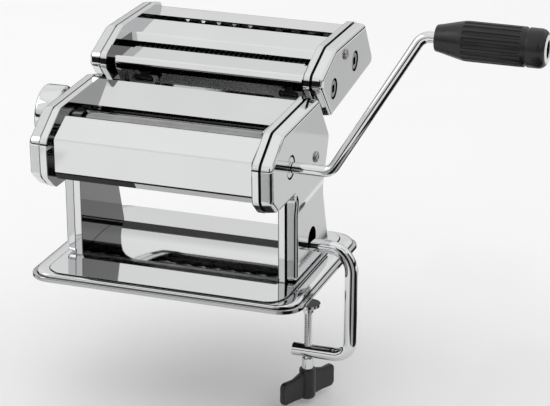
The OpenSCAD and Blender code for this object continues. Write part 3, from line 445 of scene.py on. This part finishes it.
def modify(piece, kind, **values):
    """Adds a modifier and applies it."""
    bpy.context.view_layer.objects.active = piece
    made = piece.modifiers.new(kind.lower(), kind)
    for key, value in values.items():
        setattr(made, key, value)
    bpy.ops.object.modifier_apply(modifier=made.name)


def combine(piece, tool, operation):
    modify(piece, "BOOLEAN", object=tool, operation=operation, solver="EXACT")
    bpy.data.objects.remove(tool)


def join(piece, *others):
    bpy.ops.object.select_all(action="DESELECT")
    for other in (piece, *others):
        other.select_set(True)
    bpy.context.view_layer.objects.active = piece
    bpy.ops.object.join()


def fit(piece, node, angle=32.0, flat_faces=False):
    """Smooths a finished piece, gives it the node's finish and puts it in the node's place."""
    bpy.ops.object.select_all(action="DESELECT")
    piece.select_set(True)
    bpy.context.view_layer.objects.active = piece
    bpy.ops.object.shade_smooth_by_angle(angle=math.radians(angle))
    if flat_faces:
        modify(piece, "WEIGHTED_NORMAL", keep_sharp=True, weight=80)
    piece.data.materials.clear()
    piece.data.materials.append(finish_of(node))
    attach(piece, BODY_OF[node])
    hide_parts(node)


def chain(name, points):
    """A line of edges, drawn by extruding one corner after another."""
    piece = begin(name, bpy.ops.mesh.primitive_plane_add, size=0.001, location=points[0])
    bpy.ops.mesh.merge(type="CENTER")
    for here, there in zip(points, points[1:]):
        step = tuple(b - a for a, b in zip(here, there))
        bpy.ops.mesh.extrude_region_move(TRANSFORM_OT_translate={"value": step})
    return piece


def turned(name, axis, place, steps, sides):
    """A turned shape: one circle extruded and scaled from step to step, each [radius, place on the axis]."""
    lengthwise = Vector((1, 0, 0)) if axis == "X" else Vector((0, 0, 1))
    middle = Vector(mm(0, *place)) if axis == "X" else Vector(mm(*place, 0))
    turn = (0, math.pi / 2, 0) if axis == "X" else (0, 0, 0)
    first = steps[0]
    piece = begin(name, bpy.ops.mesh.primitive_circle_add, vertices=sides, radius=first[0] * 0.001,
                  fill_type="NOTHING", location=middle + lengthwise * first[1] * 0.001, rotation=turn)
    for (r0, a0), (r1, a1) in zip(steps, steps[1:]):
        bpy.ops.mesh.extrude_region_move(TRANSFORM_OT_translate={"value": lengthwise * (a1 - a0) * 0.001})
        k = r1 / r0
        bpy.ops.transform.resize(value=(1, k, k) if axis == "X" else (k, k, 1),
                                 center_override=middle + lengthwise * a1 * 0.001)
    bpy.ops.mesh.edge_face_add()
    pick(piece, "EDGE", lambda edge: edge.is_boundary)
    bpy.ops.mesh.edge_face_add()
    close(piece)
    return piece


def arc(centre_r, centre_a, r, start, end, count=7):
    """Steps of a turned shape round an edge; the angle is from the axis' normal."""
    turns = [math.radians(start + (end - start) * i / count) for i in range(count + 1)]
    return [(centre_r + r * math.cos(t), centre_a + r * math.sin(t)) for t in turns]


# Pressed covers: sizes in millimetres, places as (y, z), corners as (y, z, radius)
BODY_CORNERS = [(-37.5, 7.2, 5), (44, 7.2, 5), (24.5, 66, 35), (37, 101, 9), (9.5, 136.5, 5),
                (-72, 133.8, 8), (-98.5, 116.5, 8), (-96.8, 88.5, 8), (-83, 77, 6), (-40, 77, 8)]
CUTTER_CORNERS = [(39.5, 111.3, 5), (148.5, 124.8, 8), (123.5, 163.4, 6), (47, 163.4, 12),
                  (14.5, 150, 6), (13, 140.5, 5)]
KNOB_AXIS = (-1.90657, 104.46424)
KNOB_HOLE_R = 7.0
CRANK_AXIS = (-56, 104)
CRANK_HOLE_R = 9.0
CLAMP_HOLE = (-2.5, 30.5)
CLAMP_HOLE_R = 9.5
RIGHT_COVER_SCREW = (1.4, 93.4)
LEFT_COVER_SCREW = (-56, 104)
NARROW_SOCKET = (42.6, 133.5)
WIDE_SOCKET = (94.75, 140.37)
SOCKET_R = 8.05
CUTTER_SCREW = (70, 152.4)
SCREW_HOLE_R = 1.7
COVER_BACK = 84.0
COVER_FACE = 92.5
COVER_EDGE = 2.9
COVER_DRAFT = 1.2
COVER_INSET = 0.4
COVER_SHEET = 0.8
LIP_BACK = 80.2
LIP_FRONT = 84.6
LIP_INSET = 1.5
LIP_SHEET = 0.6
LEG_BEND = (0.0, 66.0)
LEG_LEAN = math.radians(-3.0)
LEG_DEPTH = 0.9
LEG_BEND_STEP = 2.2
LEG_BEND_SHARES = (0.04, 0.12, 0.21, 0.26, 0.21, 0.12, 0.04)
LEG_FACE = 86.2


def set_in(corners, inset):
    """The corners of an outline moved inwards, their rounding with them; the outline runs anticlockwise."""
    made = []
    for i, (y, z, r) in enumerate(corners):
        before = Vector(corners[i - 1][:2])
        here = Vector((y, z))
        after = Vector(corners[(i + 1) % len(corners)][:2])
        a = (here - before).normalized()
        b = (after - here).normalized()
        bend = a.x * b.y - a.y * b.x
        normal_a = Vector((-a.y, a.x))
        normal_b = Vector((-b.y, b.x))
        move = (normal_a + normal_b) * inset / (1 + normal_a.dot(normal_b))
        made.append((here.x + move.x, here.y + move.y, r - inset if bend > 0 else r + inset))
    return made


def rounded(piece, x, corners):
    """Bevels each corner of an outline to its radius."""
    for i, (y, z, r) in enumerate(corners):
        here = Vector((y, z))
        a = (here - Vector(corners[i - 1][:2])).normalized()
        b = (Vector(corners[(i + 1) % len(corners)][:2]) - here).normalized()
        reach = r * math.tan(a.angle(b) / 2)
        spot = Vector(mm(x, y, z))
        pick(piece, "VERT", lambda point: (point.co - spot).length < 1e-5)
        bpy.ops.mesh.bevel(offset=reach * 0.001, offset_type="ABSOLUTE", segments=9, profile=0.5,
                           affect="VERTICES", clamp_overlap=False)


def press_leg(piece, side):
    """Presses the leg's face deeper than the cover's, with a soft bend across the neck."""
    middle = Vector(mm(0, *LEG_BEND))
    across = Vector((0, math.sin(LEG_LEAN), math.cos(LEG_LEAN)))
    places = [(i - 3) * LEG_BEND_STEP * 0.001 for i in range(len(LEG_BEND_SHARES))]
    for place in places:
        bpy.ops.mesh.select_all(action="SELECT")
        bpy.ops.mesh.bisect(plane_co=middle + across * place, plane_no=across)
    for place, part in zip(places, LEG_BEND_SHARES):
        pick(piece, "VERT", lambda point: point.co.x * side > LEG_FACE * 0.001
             and (point.co - middle).dot(across) < place + 1e-6)
        bpy.ops.transform.translate(value=mm(-side * LEG_DEPTH * part, 0, 0))


def pressed_cover(name, node, side, corners, holes, dented=False):
    """A pressed shell: the outline is filled, drawn up with leaning walls and rounded round its face."""
    back = side * COVER_BACK
    skin = set_in(corners, COVER_INSET)
    piece = chain(name, [mm(back, y, z) for y, z, r in skin])
    bpy.ops.mesh.select_all(action="SELECT")
    bpy.ops.mesh.edge_face_add()
    rounded(piece, back, skin)
    pick(piece, "FACE", lambda face: face.normal.x * side < 0)
    bpy.ops.mesh.flip_normals()
    pick(piece, "FACE", lambda face: True)
    bpy.ops.mesh.inset(thickness=COVER_DRAFT * 0.001, depth=(COVER_FACE - COVER_BACK) * 0.001)
    face_x = side * COVER_FACE * 0.001
    pick(piece, "EDGE", lambda edge: all(abs(point.co.x - face_x) < 1e-6 for point in edge.verts))
    bpy.ops.mesh.bevel(offset=COVER_EDGE * 0.001, segments=8, profile=0.5, affect="EDGES",
                       clamp_overlap=False)
    if dented:
        press_leg(piece, side)
    bpy.ops.object.mode_set(mode="OBJECT")
    modify(piece, "SOLIDIFY", thickness=COVER_SHEET * 0.001, offset=-1.0)
    for place, r in holes:
        hole = turned("hole", "X", place, [(r, back), (r, side * (COVER_FACE + 4))], 48)
        combine(piece, hole, "DIFFERENCE")
    lip = set_in(corners, LIP_INSET)
    band = chain("lip", [mm(side * LIP_BACK, y, z) for y, z, r in lip])
    pick(band, "VERT", lambda point: len(point.link_edges) == 1)
    bpy.ops.mesh.edge_face_add()
    rounded(band, side * LIP_BACK, lip)
    bpy.ops.mesh.select_all(action="SELECT")
    lip_depth = side * (LIP_FRONT - LIP_BACK)
    bpy.ops.mesh.extrude_region_move(TRANSFORM_OT_translate={"value": mm(lip_depth, 0, 0)})
    close(band)
    modify(band, "SOLIDIFY", thickness=LIP_SHEET * 0.001, offset=-1.0)
    join(piece, band)
    fit(piece, node, flat_faces=True)


pressed_cover("cover_right", "side_cover_right", 1, BODY_CORNERS,
              [(CRANK_AXIS, CRANK_HOLE_R), (RIGHT_COVER_SCREW, SCREW_HOLE_R), (CLAMP_HOLE, CLAMP_HOLE_R)],
              dented=True)
pressed_cover("cover_left", "side_cover_left", -1, BODY_CORNERS,
              [(KNOB_AXIS, KNOB_HOLE_R), (LEFT_COVER_SCREW, SCREW_HOLE_R)], dented=True)
pressed_cover("cap_right", "cutter_cap_right", 1, CUTTER_CORNERS,
              [(NARROW_SOCKET, SOCKET_R), (WIDE_SOCKET, SOCKET_R), (CUTTER_SCREW, SCREW_HOLE_R)])
pressed_cover("cap_left", "cutter_cap_left", -1, CUTTER_CORNERS, [(CUTTER_SCREW, SCREW_HOLE_R)])


# Base: sizes in millimetres; each step of its rim is (share of BASE_RIM inwards, height)
BASE_SIZE = (212.0, 160.0)
BASE_RIM = (13.5, 4.0)
BASE_CORNER_R = 17.0
BASE_SHEET = 0.9
BASE_STEPS = [(0.03, 0.0), (0.0, 0.5), (0.0, 2.2), (0.03, 2.8), (0.1, 3.2), (0.2, 3.3), (0.26, 3.5),
              (0.27, 3.9), (0.24, 4.2), (0.24, 4.9), (0.28, 5.5), (0.36, 5.95), (0.5, 6.15), (0.72, 6.2),
              (0.86, 6.1), (0.92, 6.2), (0.96, 6.8), (1.0, 7.15), (1.06, 7.2)]
SLIDE_DEPTH = 85.0
SLIDE_RISE = 6.0
SLIDE_LENGTH = 154.4
SLIDE_SINK = 0.4


def base_tray():
    """A rounded sheet drawn up through the steps of its rim, with the arched slide between the legs."""
    half = [size / 2 for size in BASE_SIZE]
    part = BASE_STEPS[0][0]
    piece = begin("base_tray", bpy.ops.mesh.primitive_plane_add, size=0.001, location=(0, 0, 0))
    spread = [2 * (h - rim * part) for h, rim in zip(half, BASE_RIM)]
    bpy.ops.transform.resize(value=(*spread, 1), center_override=(0, 0, 0))
    bpy.ops.mesh.bevel(offset=BASE_CORNER_R * 0.001, offset_type="ABSOLUTE", segments=12, profile=0.5,
                       affect="VERTICES", clamp_overlap=False)
    bpy.ops.mesh.select_all(action="SELECT")
    for (p0, z0), (p1, z1) in zip(BASE_STEPS, BASE_STEPS[1:]):
        bpy.ops.mesh.extrude_region_move(TRANSFORM_OT_translate={"value": mm(0, 0, z1 - z0)})
        scale = [(h - rim * p1) / (h - rim * p0) for h, rim in zip(half, BASE_RIM)]
        bpy.ops.transform.resize(value=(*scale, 1), center_override=mm(0, 0, z1))
    bpy.ops.mesh.select_all(action="SELECT")
    bpy.ops.mesh.normals_make_consistent(inside=False)
    pick(piece, "FACE", lambda face: face.normal.z < -0.99 and face.calc_center_median().z < 1e-5)
    bpy.ops.mesh.delete(type="FACE")
    bpy.ops.object.mode_set(mode="OBJECT")
    modify(piece, "SOLIDIFY", thickness=BASE_SHEET * 0.001, offset=-1.0)
    r = SLIDE_RISE / 2 + SLIDE_DEPTH ** 2 / (8 * SLIDE_RISE)
    top = BASE_STEPS[-1][1]
    slide = begin("slide", bpy.ops.mesh.primitive_cylinder_add, vertices=720, radius=r * 0.001,
                  depth=SLIDE_LENGTH * 0.001, location=mm(0, 0, top + SLIDE_RISE - r),
                  rotation=(0, math.pi / 2, 0))
    bpy.ops.mesh.bisect(plane_co=mm(0, 0, top - SLIDE_SINK), plane_no=(0, 0, 1), clear_inner=True)
    close(slide)
    join(piece, slide)
    fit(piece, "base_plate", flat_faces=True)


base_tray()


# Thickness knob
def thickness_knob():
    """A turned knob with a neck, a rounded rim and a shallow dish in its outer face."""
    edges = [(r, -a) for r, a in arc(18, 108, 4, -90, 0) + arc(19.6, 119.6, 2.4, 0, 90)]
    steps = [(5, -95.2), (8.6, -95), (9, -95.4), (9, -102), (9.6, -103.2), (11, -104)] + edges
    steps += [(15.5, -122), (14.9, -121.8), (14.4, -121.3), (1, -121.3)]
    fit(turned("knob_turned", "X", KNOB_AXIS, steps, 96), "adjuster_knob")


thickness_knob()


# Crank grip: a turned body with round-ended flutes
GRIP_AXIS = (-36.01349, 204.0227)
GRIP_FLUTES = 18
FLUTE_START = 210.5
FLUTE_END = 251.6
FLUTE_REACH = 14.25


def crank_grip():
    """The grip's outline from the rod's end to the end ring, with the flutes cut along it."""
    steps = [(7.6, 190.5), (8.9, 190.5), (9.3, 190.8), (9.5, 191.7), (10.2, 195), (11.3, 199.5),
             (12.5, 204.5), (13.3, 208), (13.8, 210.5), (14, 213), (14, 252.9), (13.8, 253.5), (13.2, 254),
             (13.0, 254.4), (13.0, 254.9), (13.3, 255.3), (13.7, 255.7), (13.8, 256.3), (13.8, 263.6),
             (13.6, 265), (12.9, 266.5), (11.8, 267.8), (10.5, 268.5), (7.6, 268.5), (7.6, 262)]
    grip = turned("grip_body", "X", GRIP_AXIS, steps, 108)
    round_end = [(0.2, 0), (0.7, 0.1), (1.15, 0.45), (1.45, 0.95), (1.55, 1.55)]
    flute = [(r, FLUTE_START + a) for r, a in round_end]
    flute += [(r, FLUTE_END - a) for r, a in reversed(round_end)]
    first = turned("flute", "X", (GRIP_AXIS[0] + FLUTE_REACH, GRIP_AXIS[1]), flute, 20)
    flutes = [first]
    for i in range(1, GRIP_FLUTES):
        turn = 2 * math.pi * i / GRIP_FLUTES
        bpy.ops.object.select_all(action="DESELECT")
        first.select_set(True)
        bpy.context.view_layer.objects.active = first
        bpy.ops.object.duplicate()
        forward, up = FLUTE_REACH * (math.cos(turn) - 1), FLUTE_REACH * math.sin(turn)
        bpy.ops.transform.translate(value=mm(0, forward, up))
        bpy.ops.object.transform_apply(location=True, rotation=False, scale=False)
        flutes.append(bpy.context.object)
    join(*flutes)
    combine(grip, first, "DIFFERENCE")
    fit(grip, "crank_grip", angle=40.0)


crank_grip()


# Cross-recess screws on the covers
RECESS_SIZE = (2.6, 4.8, 1.1)
RECESS_MIDDLE = 94.4
RECESS_FLOOR = 93.1
RECESS_TAPER = 0.6


def cross_screw(name, side, place, turn):
    """A domed head on its shank, with two tapered bars cut into it."""
    head = [(1.5, 86), (1.5, 92.5), (4.0, 92.5), (4.2, 92.7), (4.2, 93.2), (3.95, 93.7), (3.3, 94.15),
            (2.2, 94.4), (1.0, 94.5)]
    screw = turned(name, "X", place, [(r, side * x) for r, x in head], 40)
    for quarter in (0, math.pi / 2):
        bar = begin("recess", bpy.ops.mesh.primitive_cube_add, size=1,
                    location=mm(side * RECESS_MIDDLE, *place),
                    rotation=(turn + quarter, 0, 0), scale=mm(*RECESS_SIZE))
        pick(bar, "FACE", lambda face: face.normal.x * side < -0.9)
        bpy.ops.transform.resize(value=(1, RECESS_TAPER, RECESS_TAPER),
                                 center_override=mm(side * RECESS_FLOOR, *place))
        close(bar)
        combine(screw, bar, "DIFFERENCE")
    return screw


def screw_pair(node, right, left, turns):
    """The screws of one node, on the crank side and on the knob's side."""
    first = cross_screw(node + "_heads", 1, right, turns[0])
    second = cross_screw("left_head", -1, left, turns[1])
    join(first, second)
    fit(first, node)


screw_pair("cover_screws", RIGHT_COVER_SCREW, LEFT_COVER_SCREW, (0.4, 1.0))
screw_pair("cutter_screws", CUTTER_SCREW, CUTTER_SCREW, (0.9, 0.2))

# Clamp: a threaded screw and a moulded wing handle
CLAMP_AXIS = (90.5, -5.0)
THREAD_PITCH = 1.5
THREAD_TURNS = 23
THREAD_START = -63.4
WING_TURN = 66.0
WING_SIZE = (57, 4.5, 18)
WING_MIDDLE = -86.5
WING_WAIST = 0.72
WING_CROWN = 2.6


def clamp_screw():
    """The turned screw with its collar, and one tooth swept along it as the thread."""
    steps = [(1.8, -22), (2.2, -22.4), (2.2, -27.1), (2.5, -27.1), (2.5, -64), (4.0, -64), (4.4, -64.4),
             (4.4, -72.6), (4.1, -73), (2.5, -73), (2.5, -92.9)]
    core = turned("clamp_thread", "Z", CLAMP_AXIS, steps, 40)
    tooth = chain("thread", [mm(2.45, 0, 0), mm(3.0, 0, 0.55), mm(3.0, 0, 0.8), mm(2.45, 0, 1.35),
                             mm(2.45, 0, THREAD_PITCH)])
    bpy.ops.object.mode_set(mode="OBJECT")
    modify(tooth, "SCREW", axis="Z", angle=2 * math.pi, screw_offset=THREAD_PITCH * 0.001,
           iterations=THREAD_TURNS, steps=28, render_steps=28, use_merge_vertices=True)
    bpy.ops.object.mode_set(mode="EDIT")
    bpy.ops.mesh.select_all(action="SELECT")
    bpy.ops.mesh.remove_doubles(threshold=1e-6)
    bpy.ops.transform.translate(value=mm(*CLAMP_AXIS, THREAD_START))
    close(tooth)
    join(core, tooth)
    fit(core, "clamp_screw")


clamp_screw()


def wing_handle():
    """A turned hub and a moulded blade, waisted on both sides of the hub and rounded all round."""
    hub_steps = [(3.1, -73), (5.9, -73), (6.3, -73.4), (6.3, -94)]
    hub_steps += arc(3.8, -94.5, 2.5, 0, -90) + [(0.5, -97)]
    hub = turned("wing_moulded", "Z", CLAMP_AXIS, hub_steps, 48)
    blade = begin("blade", bpy.ops.mesh.primitive_cube_add, size=1, location=mm(0, 0, WING_MIDDLE),
                  scale=mm(*WING_SIZE))
    for x in (-16, -7, 7, 16):
        bpy.ops.mesh.select_all(action="SELECT")
        bpy.ops.mesh.bisect(plane_co=mm(x, 0, 0), plane_no=(1, 0, 0))
    pick(blade, "VERT", lambda point: abs(point.co.x) < 0.0071 and point.co.z > -0.08)
    bpy.ops.transform.translate(value=mm(0, 0, WING_CROWN))
    pick(blade, "VERT", lambda point: 0.015 < abs(point.co.x) < 0.017)
    bpy.ops.transform.resize(value=(1, WING_WAIST, 1), center_override=(0, 0, 0))
    pick(blade, "EDGE", lambda edge: all(abs(point.co.x) > 0.028 for point in edge.verts)
         and abs(edge.verts[0].co.y - edge.verts[1].co.y) > 0.001)
    bpy.ops.mesh.bevel(offset=0.004, segments=6, profile=0.5, affect="EDGES", clamp_overlap=False)
    pick(blade, "EDGE", lambda edge: len(edge.link_faces) == 2 and edge.calc_face_angle() > 0.9)
    bpy.ops.mesh.bevel(offset=0.0011, segments=4, profile=0.5, affect="EDGES", clamp_overlap=True)
    close(blade)
    blade.rotation_euler.z = math.radians(WING_TURN)
    blade.location = mm(*CLAMP_AXIS, 0)
    bpy.ops.object.select_all(action="DESELECT")
    blade.select_set(True)
    bpy.context.view_layer.objects.active = blade
    bpy.ops.object.transform_apply(location=True, rotation=True, scale=True)
    combine(hub, blade, "UNION")
    fit(hub, "wing_handle", angle=38.0)


wing_handle()


# Floor, grey cards, light and camera
FLOOR_Z = -0.1005
FLOOR_CARD_Z = -0.0995
FLOOR_RADIUS = 2.6


def make_floor():
    bpy.ops.mesh.primitive_circle_add(vertices=96, radius=FLOOR_RADIUS, fill_type="NGON",
                                      location=(0.0, 0.0, FLOOR_Z))
    floor = bpy.context.object
    floor.name = "floor"
    made = Finish("floor_paper", (0.93, 0.93, 0.93), 0.0, 0.9)
    made.color_from(made.noise(3.0, detail=2.0), (0.945, 0.945, 0.945), (0.955, 0.955, 0.955))
    floor.data.materials.append(made.material)


def card_finish(name, grey):
    """Matt paper for a card."""
    made = Finish(name, (grey, grey, grey), 0.0, 1.0)
    made.set("Specular IOR Level", 0.0)
    return made


def set_card(card, finish):
    """Gives a card its finish and hides it from all but the plating."""
    card.data.materials.append(finish.material)
    card.visible_camera = False
    card.visible_diffuse = False
    card.visible_shadow = False


def azimuth_of(place):
    """The angle round the machine in degrees, from the front towards the crank."""
    return math.degrees(math.atan2(place.x, -place.y))


def make_card(name, radius, low, high, tones):
    """An upright curved card whose grey changes with the azimuth; tones are (azimuth, grey)."""
    first, last = tones[0][0], tones[-1][0]
    bpy.ops.object.select_all(action="DESELECT")
    bpy.ops.mesh.primitive_cylinder_add(vertices=360, radius=radius, depth=high - low,
                                        end_fill_type="NOTHING", location=(0.0, 0.0, (low + high) / 2))
    card = bpy.context.object
    card.name = name
    bpy.ops.object.transform_apply(location=True, rotation=False, scale=False)
    bpy.ops.object.mode_set(mode="EDIT")
    pick(card, "FACE", lambda face: not first <= azimuth_of(face.calc_center_median()) <= last)
    bpy.ops.mesh.delete(type="FACE")
    bpy.ops.object.mode_set(mode="OBJECT")
    made = card_finish(name, tones[0][1])
    front = made.node("ShaderNodeMath", operation="MULTIPLY")
    front.inputs[1].default_value = -1.0
    made.link(made.along("Y"), front.inputs[0])
    turn = made.node("ShaderNodeMath", operation="ARCTAN2")
    made.link(made.along("X"), turn.inputs[0])
    made.link(front.outputs["Value"], turn.inputs[1])
    ramp = made.node("ShaderNodeValToRGB")
    set_stops(ramp.color_ramp, [((azimuth - first) / (last - first), (grey, grey, grey))
                                for azimuth, grey in tones])
    share = made.ramp(turn.outputs["Value"], 0.0, 1.0, math.radians(first), math.radians(last))
    made.link(share, ramp.inputs["Fac"])
    made.link(ramp.outputs["Color"], made.shader.inputs["Base Color"])
    set_card(card, made)


def make_floor_card(name, low, high, grey):
    """A card of one grey that lies on the floor."""
    middle = [(a + b) / 2 for a, b in zip(low, high)]
    bpy.ops.object.select_all(action="DESELECT")
    bpy.ops.mesh.primitive_plane_add(size=1.0, location=(*middle, FLOOR_CARD_Z))
    card = bpy.context.object
    card.name = name
    card.scale = (high[0] - low[0], high[1] - low[1], 1.0)
    set_card(card, card_finish(name, grey))


def make_lamp(name, place, aim, size, power):
    """A soft box that faces the machine."""
    data = bpy.data.lights.new(name, "AREA")
    data.shape = "RECTANGLE"
    data.size, data.size_y = size
    data.energy = power
    lamp = bpy.data.objects.new(name, data)
    lamp.location = place
    lamp.rotation_euler = (Vector(aim) - Vector(place)).to_track_quat("-Z", "Y").to_euler()
    bpy.context.scene.collection.objects.link(lamp)


def make_world():
    """A pale studio: its tone depends only on the height above the horizon."""
    world = bpy.data.worlds.new("studio")
    bpy.context.scene.world = world
    world.use_nodes = True
    tree = world.node_tree
    background = tree.nodes["Background"]
    coords = tree.nodes.new("ShaderNodeTexCoord")
    split = tree.nodes.new("ShaderNodeSeparateXYZ")
    ramp = tree.nodes.new("ShaderNodeValToRGB")
    tree.links.new(coords.outputs["Generated"], split.inputs["Vector"])
    tree.links.new(split.outputs["Z"], ramp.inputs["Fac"])
    tree.links.new(ramp.outputs["Color"], background.inputs["Color"])
    tones = [(0.0, 0.64), (0.30, 0.74), (0.44, 0.92), (0.60, 0.92), (0.78, 0.86), (0.90, 1.0)]
    set_stops(ramp.color_ramp, [(height, (tone, tone, tone)) for height, tone in tones])
    background.inputs["Strength"].default_value = 1.03


make_world()
make_floor()
# These cards are seen only in the plating: painted dark and grey reflections of a room and floor around the
# machine
make_card("horizon_card", 2.5, -0.04, 0.42, [(-180.0, 0.012), (180.0, 0.012)])
make_card("crank_side_card", 0.2, -0.099, 0.095,
          [(22.0, 0.80), (28.0, 0.66), (36.0, 0.54), (40.0, 0.08), (42.0, 0.012), (58.0, 0.012), (64.0, 0.6),
           (77.0, 0.6), (80.0, 0.012), (91.0, 0.012)])
make_card("camera_side_card", 2.2, 0.10, 1.9, [(6.0, 0.02), (34.0, 0.02)])
make_card("back_band", 0.50, -0.035, 0.11, [(-176.0, 0.06), (-146.0, 0.06)])
make_card("knob_side_card", 0.36, -0.099, 0.09, [(-102.0, 0.012), (-84.0, 0.012)])
make_floor_card("crank_floor_card", (0.20, -0.46), (0.60, 0.16), 0.012)
make_floor_card("back_floor_card", (0.188, 0.20), (0.45, 0.60), 0.72)
make_floor_card("far_floor_card", (0.188, 0.60), (0.45, 1.00), 0.60)
make_floor_card("neck_floor_card", (0.10, 0.26), (0.188, 0.356), 0.08)
make_floor_card("left_floor_card", (-0.80, -0.56), (-0.275, -0.10), 0.74)
make_lamp("key_box", (-2.0, -0.9, 1.7), (0.0, 0.0, 0.08), (1.6, 1.6), 12.0)
place_camera()
bpy.context.scene.view_settings.view_transform = "Standard"
